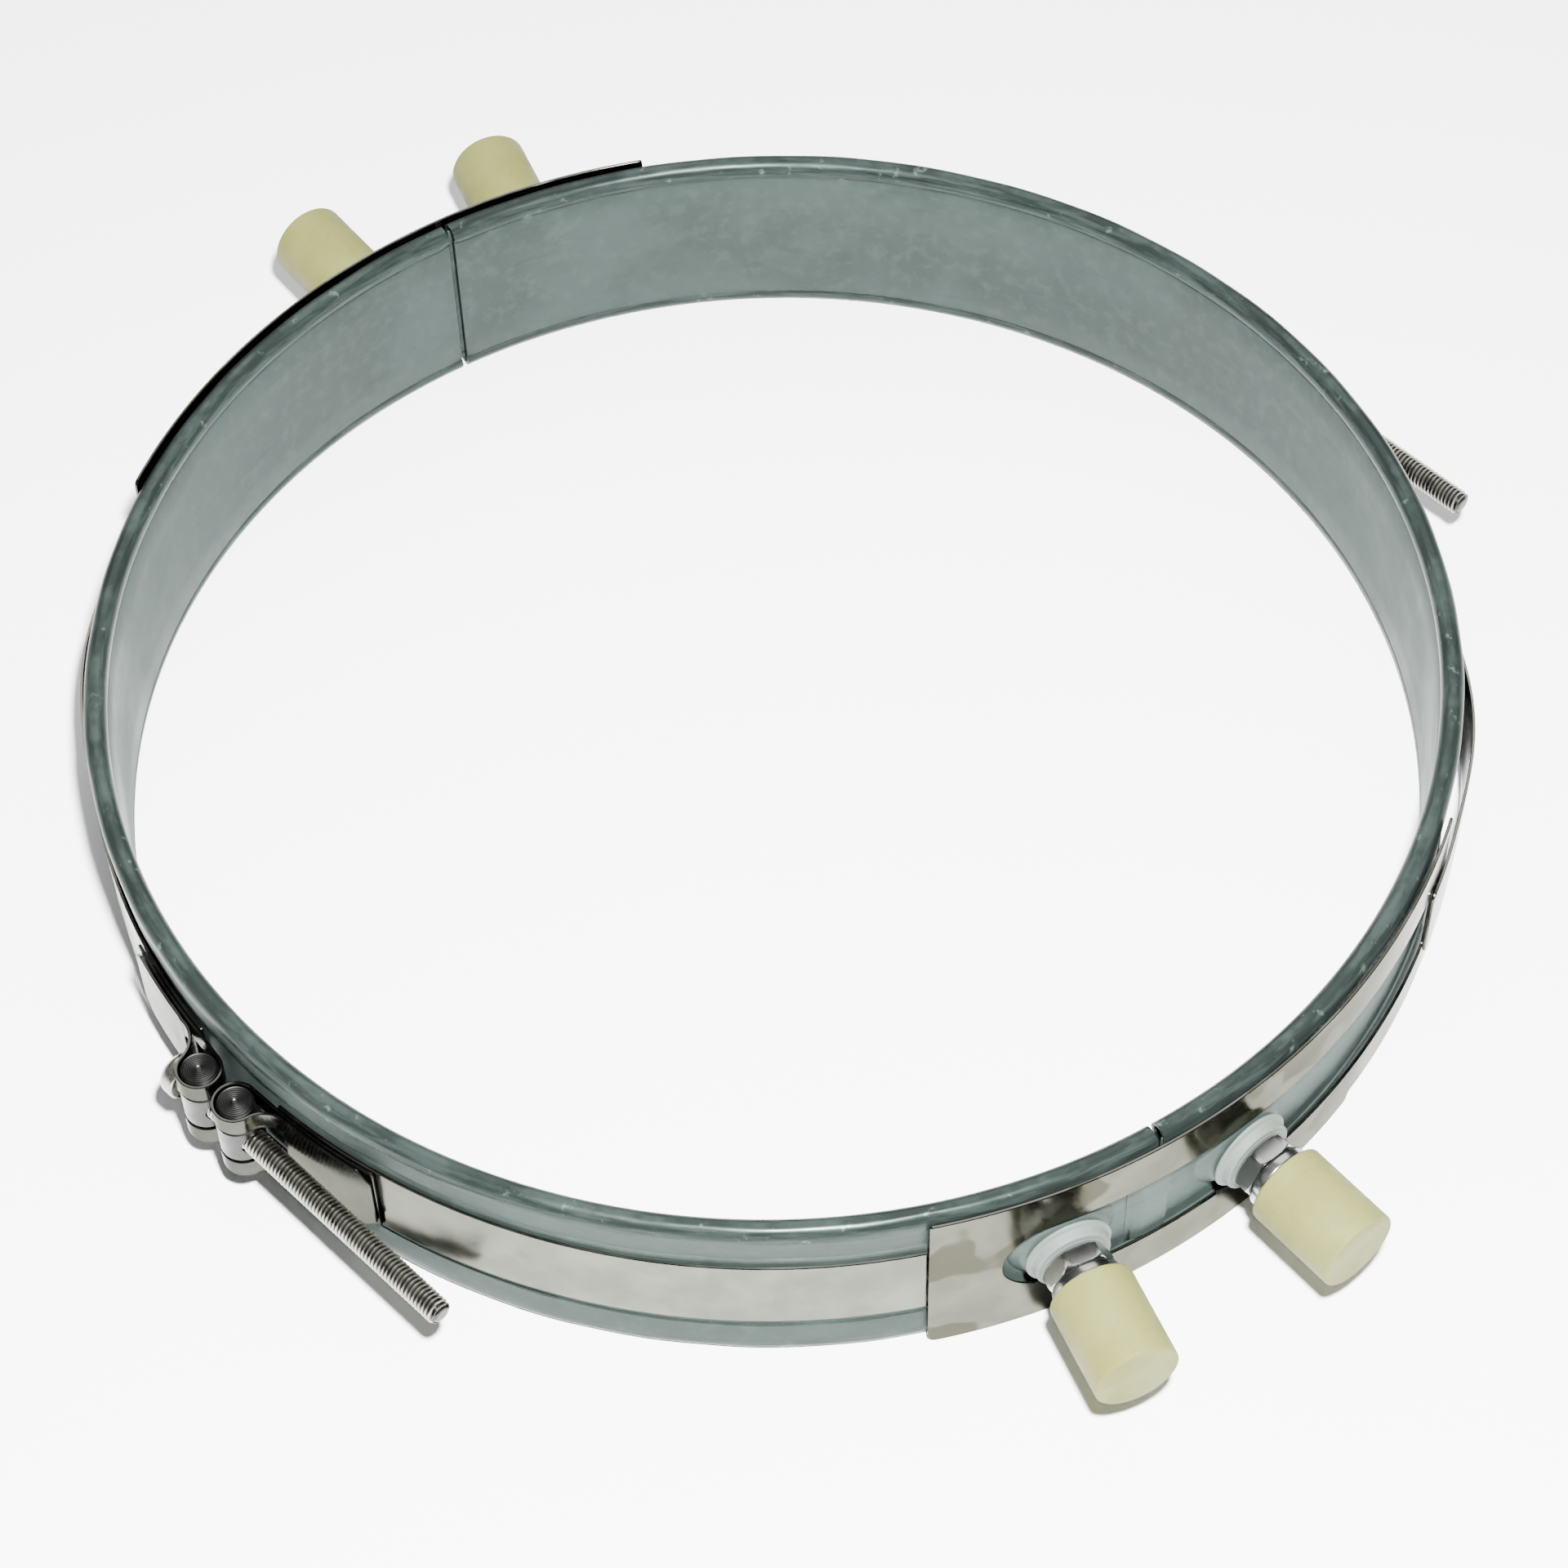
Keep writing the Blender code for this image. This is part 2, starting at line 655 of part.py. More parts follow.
galvanised = make_material("galvanised_sheet", (0.42, 0.50, 0.51), 0.85, 0.38)
mica = make_material("mica", (0.62, 0.55, 0.42), 0.0, 0.55)
resistance_alloy = make_material("resistance_alloy", (0.35, 0.33, 0.31), 0.9, 0.45)
stainless = make_material("bright_stainless", (0.70, 0.70, 0.67), 1.0, 0.22)
turned_steel = make_material("turned_steel", (0.46, 0.46, 0.45), 1.0, 0.3)
plated_steel = make_material("plated_steel", (0.62, 0.61, 0.57), 1.0, 0.25)
pale_insulation = make_material("pale_insulation", (0.72, 0.71, 0.68), 0.0, 0.6)
ceramic = make_material("cream_ceramic", (0.60, 0.58, 0.39), 0.0, 0.6)

right_shell = add_pivot("right_shell", (0.0, 0.0, MID_Z))
left_shell = add_pivot("left_shell_slide", (0.0, 0.0, MID_Z), right_shell)
shell_pivots = {"right": right_shell, "left": left_shell}
for shell_side, shell_pivot in shell_pivots.items():
    make_shell(shell_side, shell_pivot)
for terminal_place, terminal_angle, terminal_side in TERMINALS:
    make_terminal(terminal_place, terminal_angle, shell_pivots[terminal_side])

make_strap_half("front", 0.0, right_shell)
rear_strap = make_strap_half("rear", 180.0, right_shell)
for screw_side in ("left", "right"):
    make_screw(screw_side, rear_strap)
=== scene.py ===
"""A two-piece mica band heater with capped terminals and barrel-nut clamps.

Lengths are in metres and angles in degrees from +X. Every fine piece stands for one node.
"""

import math

import bmesh
import bpy
from mathutils import Matrix, Vector
from mathutils.geometry import delaunay_2d_cdt


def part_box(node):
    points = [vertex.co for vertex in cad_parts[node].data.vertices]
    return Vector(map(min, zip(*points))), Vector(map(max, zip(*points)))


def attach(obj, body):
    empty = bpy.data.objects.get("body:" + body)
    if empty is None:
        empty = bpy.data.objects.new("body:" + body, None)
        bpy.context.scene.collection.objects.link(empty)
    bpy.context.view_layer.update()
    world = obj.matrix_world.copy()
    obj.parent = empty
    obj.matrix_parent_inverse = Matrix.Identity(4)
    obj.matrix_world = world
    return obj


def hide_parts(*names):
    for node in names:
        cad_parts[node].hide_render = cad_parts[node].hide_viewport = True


MM = 0.001

# Sizes that the CAD also has. The nuts and collars are wider here, as in the photo.
BORE_R = 100.0 * MM
LINER_SHEET = 0.5 * MM
FOLD_R = 1.75 * MM
FLANGE_R = BORE_R + 2 * FOLD_R
FLANGE_WIDTH = 6.5 * MM
SPLIT_ANGLE = 77.0
SPLIT_GAP = 1.2 * MM
LAYER_MARGIN = 1.8 * MM
COVER_SHEET = 0.4 * MM
COVER_R = 102.38 * MM
COVER_OUT_R = COVER_R + COVER_SHEET

TERMINALS = (
    ("front_left", -111.3, "left"),
    ("front_right", -94.4, "right"),
    ("rear_right", 68.1, "right"),
    ("rear_left", 83.5, "left"),
)
BOSS_TOP = 104.58 * MM
STUD_R = 2.45 * MM
STUD_HOLE_R = 2.75 * MM
STUD_TIP = 121.0 * MM
STUD_PITCH = 0.8 * MM
STACK_GAP = 0.2 * MM
WASHER_R = 6.6 * MM
WASHER_HEIGHT = 2.2 * MM
NUT_FLATS = 9.1 * MM
NUT_HEIGHT = 3.0 * MM
COLLAR_R = 5.2 * MM
COLLAR_HEIGHT = 1.6 * MM
CAP_R = 6.4 * MM
CAP_LENGTH = 15.0 * MM
INSERT_R = 4.0 * MM
INSERT_LENGTH = 9.0 * MM

SHEET = 0.5 * MM
STRAP_WIDTH = 14.4 * MM
STRAP_R = COVER_OUT_R + 0.32 * MM
STRAP_OUT_R = STRAP_R + SHEET
PLATE_R = FLANGE_R + 0.6 * MM
PLATE_MARGIN = 0.4 * MM
PLATE_ANGLES = (-122.5, -63.0)
WINDOW_HEIGHT = 14.6 * MM
WINDOW_ANGLES = (-112.6, -66.8)
NOTCH_ANGLE = -81.0
NOTCH_HEIGHT = 2.0 * MM
STRAP_OVERLAP_ANGLE = 4.0
OUTSIDE_STRAP_R = PLATE_R + SHEET + 0.2 * MM
STRAP_BULGE_R = 105.8 * MM
STRAP_BULGE_ANGLES = (-61.0, -50.0, -30.0)

BARREL_R = 2.8 * MM
BARREL_BODY_R = 3.4 * MM
BARREL_BODY_LENGTH = 7.1 * MM
BARREL_HOLE_R = 2.15 * MM
LOOP_R = BARREL_R + 0.2 * MM + SHEET / 2
LOOP_END_ANGLE = 10.0
TAB_LENGTH = 23.0 * MM
TAB_GAP = 0.15 * MM
SLOT_HEIGHT = 7.6 * MM
SLOT_HALF_EYE = 4.0 * MM
STRAP_END_FROM_BARREL = 4.8 * MM
SCREW_R = 1.95 * MM
SCREW_PITCH = 0.7 * MM
SCREW_HEAD_R = 3.5 * MM
SCREW_HEAD_HEIGHT = 3.6 * MM

# Detail that only this model has.
VISIBLE_SPLIT_TRIM = 0.08 * MM
LAP_REACH = 2.6 * MM
LAP_SINK = 0.12 * MM
LAP_LIFT = 0.40 * MM
BROKEN_EDGE = 0.11 * MM
BROKEN_COVER_EDGE = 0.06 * MM
NUT_CHAMFER = 0.62 * MM
THREAD_STEPS = 28
STUD_THREAD_DEPTH = 0.46 * MM
SCREW_THREAD_DEPTH = 0.38 * MM
FOLD_WEAR = (3.4 * MM, 2.2 * MM)
GROOVE_SHADE = (0.34 * MM, 0.06 * MM)
WELD_DISTANCE = 0.0005 * MM
SLIVER = 0.0005 * MM
LEAST_SPACING = 0.02 * MM
ROLLED_R = 0.104

# The camera fitted to the photo: distances in ring radii, then azimuth, facing, pitch and roll.
CAMERA_UNIT = 0.103
CAMERA_STAND = 3.782
CAMERA_TALL = 4.999
CAMERA_ANGLES = (-133.0, 46.94, 55.35, -1.69)
CAMERA_LENS = 94.61
CAMERA_SHIFT = 0.1042
RING_MIDDLE = (0.0, 0.0, 0.016)

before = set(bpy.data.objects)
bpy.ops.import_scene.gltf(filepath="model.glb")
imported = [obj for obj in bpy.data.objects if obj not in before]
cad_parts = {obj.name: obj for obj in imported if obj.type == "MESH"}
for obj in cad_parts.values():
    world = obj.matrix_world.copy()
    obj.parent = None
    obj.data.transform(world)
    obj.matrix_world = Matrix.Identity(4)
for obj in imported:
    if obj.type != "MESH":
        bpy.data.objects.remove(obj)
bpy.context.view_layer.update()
ring_low, ring_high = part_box("right_shell_liner")
RING_WIDTH = ring_high.z - ring_low.z
MID_Z = RING_WIDTH / 2


def centre_of(node):
    low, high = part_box(node)
    return (low + high) / 2


# ---------------------------------------------------------------- materials


def toned(tint, factor=1.0):
    return tuple(factor * part for part in tint) + (1.0,)


class Nodes:
    """A short way to wire one material's nodes."""

    def __init__(self, name):
        self.material = bpy.data.materials.new(name)
        self.material.use_nodes = True
        self.tree = self.material.node_tree
        self.shader = self.tree.nodes["Principled BSDF"]

    def add(self, kind, **inputs):
        node = self.tree.nodes.new(kind)
        for name, value in inputs.items():
            self.put(node.inputs[name.replace("_", " ")], value)
        return node

    def put(self, socket, value):
        if isinstance(value, bpy.types.NodeSocket):
            self.tree.links.new(value, socket)
        else:
            socket.default_value = value

    def math(self, operation, first, second=0.0):
        node = self.tree.nodes.new("ShaderNodeMath")
        node.operation = operation
        self.put(node.inputs[0], first)
        self.put(node.inputs[1], second)
        return node.outputs[0]

    def noise(self, vector, scale, detail=2.0, roughness=0.5):
        node = self.add("ShaderNodeTexNoise", Scale=scale, Detail=detail, Roughness=roughness)
        self.put(node.inputs["Vector"], vector)
        return node.outputs["Fac"]

    def spread(self, value, low, high, to_low=0.0, to_high=1.0):
        node = self.tree.nodes.new("ShaderNodeMapRange")
        node.interpolation_type = "SMOOTHSTEP"
        for socket, number in zip(node.inputs, (value, low, high, to_low, to_high)):
            self.put(socket, number)
        return node.outputs[0]

    def mix(self, factor, first, second, blend="MIX"):
        node = self.tree.nodes.new("ShaderNodeMix")
        node.data_type = "RGBA"
        node.blend_type = blend
        self.put(node.inputs[0], factor)
        self.put(node.inputs[6], first)
        self.put(node.inputs[7], second)
        return node.outputs[2]

    def place(self):
        return self.add("ShaderNodeTexCoord").outputs["Object"]

    def split_place(self):
        parts = self.tree.nodes.new("ShaderNodeSeparateXYZ")
        self.put(parts.inputs[0], self.place())
        return parts.outputs

    def rolled(self, across, along):
        """Coordinates for detail that runs round the ring: squeezed across, stretched along."""
        x, y, z = self.split_place()
        turn = self.math("ARCTAN2", y, x)
        joined = self.tree.nodes.new("ShaderNodeCombineXYZ")
        self.put(joined.inputs[0], self.math("MULTIPLY", turn, ROLLED_R * along))
        self.put(joined.inputs[1], self.math("MULTIPLY", z, across))
        return joined.outputs[0]

    def bump(self, height, strength, distance, below=None):
        node = self.tree.nodes.new("ShaderNodeBump")
        self.put(node.inputs["Strength"], strength)
        self.put(node.inputs["Distance"], distance)
        self.put(node.inputs["Height"], height)
        if below is not None:
            self.put(node.inputs["Normal"], below)
        return node.outputs["Normal"]

    def finish(self, color, roughness, normal, metallic):
        self.put(self.shader.inputs["Base Color"], color)
        self.put(self.shader.inputs["Roughness"], roughness)
        self.put(self.shader.inputs["Normal"], normal)
        self.shader.inputs["Metallic"].default_value = metallic
        return self.material


def galvanised_sheet(name, tint, rubbed=0.0):
    """Dull zinc coating: soft clouds, rolling streaks, pits and scuffs, with both folds rubbed."""
    n = Nodes(name)
    clouds = n.noise(n.place(), 55.0, 3.0, 0.55)
    fine = n.noise(n.place(), 420.0, 4.0, 0.6)
    streaks = n.noise(n.rolled(900.0, 25.0), 1.0, 2.0, 0.6)
    scuffs = n.noise(n.rolled(260.0, 45.0), 1.0, 3.0, 0.7)
    dark = toned(tint, 0.80)
    pale = toned(tint, 1.14)
    color = n.mix(n.spread(clouds, 0.36, 0.66), dark, pale)
    color = n.mix(n.spread(fine, 0.45, 0.72, 0.0, 0.35), color, toned(tint, 1.5))
    color = n.mix(n.spread(scuffs, 0.58, 0.76, 0.0, 0.35), color, toned(tint, 0.50))
    from_middle = n.math("ABSOLUTE", n.math("SUBTRACT", n.split_place()[2], MID_Z))
    folded = n.spread(from_middle, MID_Z - FOLD_WEAR[0], MID_Z - FOLD_WEAR[1])
    scratched = n.noise(n.rolled(1400.0, 90.0), 1.0, 3.0, 0.7)
    worn = n.mix(n.spread(scratched, 0.40, 0.66), toned(tint, 0.34), toned(tint, 0.85))
    worn = n.mix(n.spread(fine, 0.62, 0.74, 0.0, 0.8), worn, toned(tint, 2.6))
    color = n.mix(n.math("MULTIPLY", folded, rubbed), color, worn)
    dull = n.spread(clouds, 0.3, 0.7, 0.42, 0.58)
    rough = n.math("SUBTRACT", dull, n.math("MULTIPLY", folded, 0.2 * rubbed))
    normal = n.bump(clouds, 0.35, 0.0006)
    normal = n.bump(streaks, 0.10, 0.00008, normal)
    normal = n.bump(fine, 0.22, 0.00006, normal)
    n.put(n.shader.inputs["Specular IOR Level"], 0.15)
    n.put(n.shader.inputs["Specular Tint"], (0.45, 0.50, 0.49, 1.0))
    return n.finish(color, rough, normal, 0.35)


def bright_stainless(name, tint, stained=0.0):
    """Rolled stainless: fine lines along the strip, slight waves, smears and darker stains."""
    n = Nodes(name)
    lines = n.noise(n.rolled(5200.0, 60.0), 1.0, 2.0, 0.6)
    waves = n.noise(n.rolled(90.0, 60.0), 1.0, 1.0, 0.5)
    smears = n.noise(n.place(), 130.0, 3.0, 0.6)
    pale = toned(tint)
    dark = toned(tint, 0.78)
    color = n.mix(n.spread(smears, 0.35, 0.70), dark, pale)
    stains = n.noise(n.place(), 72.0, 2.0, 0.45)
    brown = (0.46 * tint[0], 0.44 * tint[1], 0.41 * tint[2], 1.0)
    color = n.mix(n.spread(stains, 0.53, 0.57, 0.0, stained), color, brown)
    rough = n.spread(smears, 0.30, 0.70, 0.12, 0.24)
    n.put(n.shader.inputs["Specular Tint"], (0.5, 0.5, 0.48, 1.0))
    normal = n.bump(waves, 0.30, 0.0008)
    normal = n.bump(lines, 0.12, 0.00003, normal)
    return n.finish(color, rough, normal, 1.0)


def machined(name, tint, low, high, grain=1600.0, grime=0.45, rippled=0.18):
    """Turned or plated steel: small tool marks, with grime where the noise says it gathers."""
    n = Nodes(name)
    patches = n.noise(n.place(), 380.0, 3.0, 0.6)
    grains = n.noise(n.place(), grain, 2.0, 0.6)
    pale = toned(tint)
    dark = toned(tint, grime)
    color = n.mix(n.spread(patches, 0.48, 0.80), pale, dark)
    rough = n.spread(patches, 0.30, 0.75, low, high)
    normal = n.bump(grains, rippled, 0.00004)
    return n.finish(color, rough, normal, 1.0)


def threaded(name, tint, centre):
    """Plated thread along Y: painted shade darkens the grooves, and the crests stay pale."""
    n = Nodes(name)
    x, _, z = n.split_place()
    aside = n.math("POWER", n.math("ABSOLUTE", n.math("SUBTRACT", x, centre.x)), 2.0)
    above = n.math("POWER", n.math("ABSOLUTE", n.math("SUBTRACT", z, centre.z)), 2.0)
    reach = n.math("SQRT", n.math("ADD", aside, above))
    patches = n.noise(n.place(), 500.0, 2.0, 0.5)
    dark = toned(tint, 0.16)
    pale = toned(tint)
    # Painted shade: the thread darkens from its crests down into the grooves and the root.
    color = n.mix(n.spread(reach, SCREW_R - GROOVE_SHADE[0], SCREW_R - GROOVE_SHADE[1]), dark, pale)
    color = n.mix(n.spread(patches, 0.55, 0.75, 0.0, 0.3), color, dark)
    rough = n.spread(patches, 0.3, 0.7, 0.26, 0.36)
    return n.finish(color, rough, n.bump(patches, 0.05, 0.00004), 1.0)


def fired_ceramic(name, tint):
    """Unglazed cream ceramic: chalky, with fine pores and faint stains."""
    n = Nodes(name)
    stains = n.noise(n.place(), 150.0, 3.0, 0.6)
    pores = n.noise(n.place(), 2600.0, 3.0, 0.7)
    specks = n.noise(n.place(), 1500.0, 1.0, 0.5)
    pale = toned(tint)
    warm = (tint[0] * 0.93, tint[1] * 0.90, tint[2] * 0.80, 1.0)
    color = n.mix(n.spread(stains, 0.40, 0.68), pale, warm)
    speck = (tint[0] * 0.62, tint[1] * 0.58, tint[2] * 0.48, 1.0)
    color = n.mix(n.spread(specks, 0.70, 0.80, 0.0, 0.6), color, speck)
    rough = n.spread(stains, 0.3, 0.7, 0.60, 0.75)
    n.put(n.shader.inputs["Specular IOR Level"], 0.25)
    normal = n.bump(pores, 0.25, 0.00008)
    normal = n.bump(stains, 0.15, 0.0004, normal)
    return n.finish(color, rough, normal, 0.0)


def pressed_mica(name, tint):
    """Flaky mica board, seen only in the split."""
    n = Nodes(name)
    flakes = n.add("ShaderNodeTexVoronoi", Scale=900.0)
    n.put(flakes.inputs["Vector"], n.place())
    layers = n.noise(n.place(), 300.0, 3.0, 0.6)
    pale = toned(tint)
    dark = toned(tint, 0.6)
    color = n.mix(n.spread(flakes.outputs["Distance"], 0.1, 0.7), pale, dark)
    rough = n.spread(layers, 0.3, 0.7, 0.45, 0.65)
    return n.finish(color, rough, n.bump(layers, 0.3, 0.0001), 0.0)


galvanised = galvanised_sheet("galvanised_sheet_fine", (0.025, 0.034, 0.031), 0.9)
cover_zinc = galvanised_sheet("cover_zinc_fine", (0.040, 0.053, 0.049))
stainless = bright_stainless("bright_stainless_fine", (0.125, 0.127, 0.110), 0.10)
plate_steel = bright_stainless("plate_stainless_fine", (0.092, 0.093, 0.078), 0.85)
# The loops' stainless is toned far darker than the strap's: painted shade for the screw's shadow
# over the tabs. Their stains are real.
shaded_loop_steel = bright_stainless("shaded_loop_stainless_fine", (0.062, 0.064, 0.057), 0.3)
barrel_steel = machined("turned_steel_fine", (0.030, 0.030, 0.029), 0.28, 0.42, 1800.0, 0.6, 0.05)
plated = machined("plated_steel_fine", (0.27, 0.275, 0.265), 0.20, 0.24, 900.0, 0.9, 0.0)
screw_steel = {
    side: threaded(
        f"{side}_screw_plate_groove_shade_fine", (0.26, 0.255, 0.22), centre_of(f"{side}_clamp_screw")
    )
    for side in ("left", "right")
}
ceramic = fired_ceramic("cream_ceramic_fine", (0.112, 0.116, 0.033))
insulation = fired_ceramic("pale_insulation_fine", (0.085, 0.102, 0.095))
mica = pressed_mica("mica_fine", (0.52, 0.46, 0.34))
winding = machined("resistance_alloy_fine", (0.30, 0.28, 0.26), 0.40, 0.55, 900.0, 0.6)


# ---------------------------------------------------------------- shapes


def polar(radius, angle):
    turn = math.radians(angle)
    return Vector((radius * math.cos(turn), radius * math.sin(turn)))


def spaced(start, end, steps):
    return [start + (end - start) * i / steps for i in range(steps + 1)]


def arc(radius, start, end, steps, centre=(0.0, 0.0)):
    return [Vector(centre) + polar(radius, angle) for angle in spaced(start, end, steps)]


def eased(start, end, share):
    """From start to end, level at both."""
    share = min(max(share, 0.0), 1.0)
    return start + (end - start) * share * share * (3 - 2 * share)


def radial(angle):
    """Turns local Z to point outwards at an angle, from the ring's axis at mid height."""
    turn = Matrix.Rotation(math.radians(angle), 4, "Z") @ Matrix.Rotation(math.radians(90), 4, "Y")
    return Matrix.Translation((0.0, 0.0, MID_Z)) @ turn


def angle_at_y(radius, y):
    return math.degrees(math.asin(y / radius))


def piece(name, shape, material, node, body, sharp=32.0):
    """Puts a filled bmesh in the scene for one node of the frame."""
    mesh = bpy.data.meshes.new(name)
    bmesh.ops.remove_doubles(shape, verts=shape.verts, dist=WELD_DISTANCE)
    bmesh.ops.recalc_face_normals(shape, faces=shape.faces)
    shape.to_mesh(mesh)
    shape.free()
    mesh.shade_smooth()
    mesh.set_sharp_from_angle(angle=math.radians(sharp))
    mesh.materials.append(material)
    obj = bpy.data.objects.new(name, mesh)
    bpy.context.scene.collection.objects.link(obj)
    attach(obj, body)
    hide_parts(node)
    return obj


def lathe(shape, profile, steps, matrix, closed=True):
    """Adds a shape turned round local Z. The profile's points are (radius, height)."""
    rings = []
    for radius, height in profile:
        count = 1 if radius < 1e-7 else steps
        ring = []
        for step in range(count):
            flat = polar(radius, 360.0 * step / steps)
            ring.append(shape.verts.new(matrix @ Vector((flat.x, flat.y, height))))
        rings.append(ring)
    pairs = list(zip(rings, rings[1:]))
    if closed and min(len(rings[0]), len(rings[-1])) > 1:
        pairs.append((rings[-1], rings[0]))
    for first, second in pairs:
        for step in range(steps):
            after = (step + 1) % steps
            if len(first) > 1 and len(second) > 1:
                shape.faces.new((first[step], first[after], second[after], second[step]))
            elif len(first) > 1:
                shape.faces.new((first[step], first[after], second[0]))
            elif len(second) > 1:
                shape.faces.new((first[0], second[after], second[step]))


def rounded(points, edge, steps=4):
    """A profile whose convex and concave corners are rounded. The first and last points stay."""
    out = [Vector(points[0])]
    for before, corner, after in zip(points, points[1:], points[2:]):
        corner = Vector(corner)
        back = Vector(before) - corner
        ahead = Vector(after) - corner
        reach = min(edge, back.length * 0.45, ahead.length * 0.45)
        start = corner + back.normalized() * reach
        end = corner + ahead.normalized() * reach
        for share in spaced(0.0, 1.0, steps):
            out.append(
                start * (1 - share) ** 2 + corner * 2 * share * (1 - share) + end * share**2
            )
    out.append(Vector(points[-1]))
    return out


def ring_profile(inner, outer, low, high, edge, steps=5):
    """A washer's profile with its outer corners rounded."""
    corners = [(inner, low), (outer, low), (outer, high), (inner, high)]
    return rounded(corners, edge, steps)


def swept_ring(shape, profile, start, end, steps, reshape=None):
    """Sweeps a closed profile of (radius, height) points round the ring, with closed ends."""
    rings = []
    for angle in spaced(start, end, steps):
        ring = []
        for radius, height in profile:
            if reshape is not None:
                radius, height = reshape(radius, height, angle)
            flat = polar(radius, angle)
            ring.append(shape.verts.new((flat.x, flat.y, height)))
        rings.append(ring)
    count = len(profile)
    for first, second in zip(rings, rings[1:]):
        for index in range(count):
            after = (index + 1) % count
            shape.faces.new((first[index], first[after], second[after], second[index]))
    half = count // 2
    for ring in (rings[0], rings[-1]):
        for index in range(half - 1):
            other = count - 1 - index
            shape.faces.new((ring[index], ring[index + 1], ring[other - 1], ring[other]))


def sheet_profile(middle, thickness):
    """Both sides of a folded sheet, from the line along its middle."""
    left, right = [], []
    for index, point in enumerate(middle):
        before = middle[max(index - 1, 0)]
        after = middle[min(index + 1, len(middle) - 1)]
        along = (after - before).normalized()
        aside = Vector((-along.y, along.x)) * thickness / 2
        left.append(point + aside)
        right.append(point - aside)
    return left + right[::-1]


def inside(point, loop):
    found = False
    for first, second in zip(loop, loop[1:] + loop[:1]):
        if (first[1] > point[1]) != (second[1] > point[1]):
            rise = second[1] - first[1]
            cross = first[0] + (point[1] - first[1]) * (second[0] - first[0]) / rise
            if point[0] < cross:
                found = not found
    return found


def near(point, loop, reach):
    for first, second in zip(loop, loop[1:] + loop[:1]):
        along = Vector(second) - Vector(first)
        share = 0.0
        if along.length_squared > 0:
            offset = Vector(point) - Vector(first)
            share = min(max(offset.dot(along) / along.length_squared, 0), 1)
        if (Vector(point) - Vector(first) - along * share).length < reach:
            return True
    return False


def corner_rounded(corners, reaches, steps=5):
    """A closed loop with each corner rounded by its own reach."""
    loop = []
    count = len(corners)
    for index, corner in enumerate(corners):
        corner = Vector(corner)
        back = Vector(corners[index - 1]) - corner
        ahead = Vector(corners[(index + 1) % count]) - corner
        reach = reaches[index]
        if reach <= 0:
            loop.append(corner)
            continue
        start = corner + back.normalized() * reach
        end = corner + ahead.normalized() * reach
        for share in spaced(0.0, 1.0, steps):
            loop.append(
                start * (1 - share) ** 2 + corner * 2 * share * (1 - share) + end * share**2
            )
    return loop


def split_at(loop, marks):
    """Adds a point wherever a loop crosses one of the marks along the sheet."""
    out = []
    for first, second in zip(loop, loop[1:] + loop[:1]):
        out.append(Vector(first))
        span = second[0] - first[0]
        crossed = []
        for mark in marks:
            if min(abs(mark - first[0]), abs(mark - second[0])) > LEAST_SPACING:
                share = (mark - first[0]) / span if abs(span) > 1e-9 else -1.0
                if 0.0 < share < 1.0:
                    crossed.append(share)
        for share in sorted(crossed):
            out.append(Vector(first).lerp(Vector(second), share))
    return out


def inset(loop, reach, outer):
    """A loop moved into the material: inwards from an outline, and outwards from a hole."""
    area = sum(a[0] * b[1] - b[0] * a[1] for a, b in zip(loop, loop[1:] + loop[:1]))
    sign = (1 if area > 0 else -1) * (1 if outer else -1)
    moved = []
    for index, point in enumerate(loop):
        back = (point - loop[index - 1]).normalized()
        ahead = (loop[(index + 1) % len(loop)] - point).normalized()
        aside = (Vector((-back.y, back.x)) + Vector((-ahead.y, ahead.x))) * sign
        aside.normalize()
        lean = max(0.5, aside.dot(Vector((-ahead.y, ahead.x)) * sign))
        moved.append(point + aside * reach / lean)
    return moved


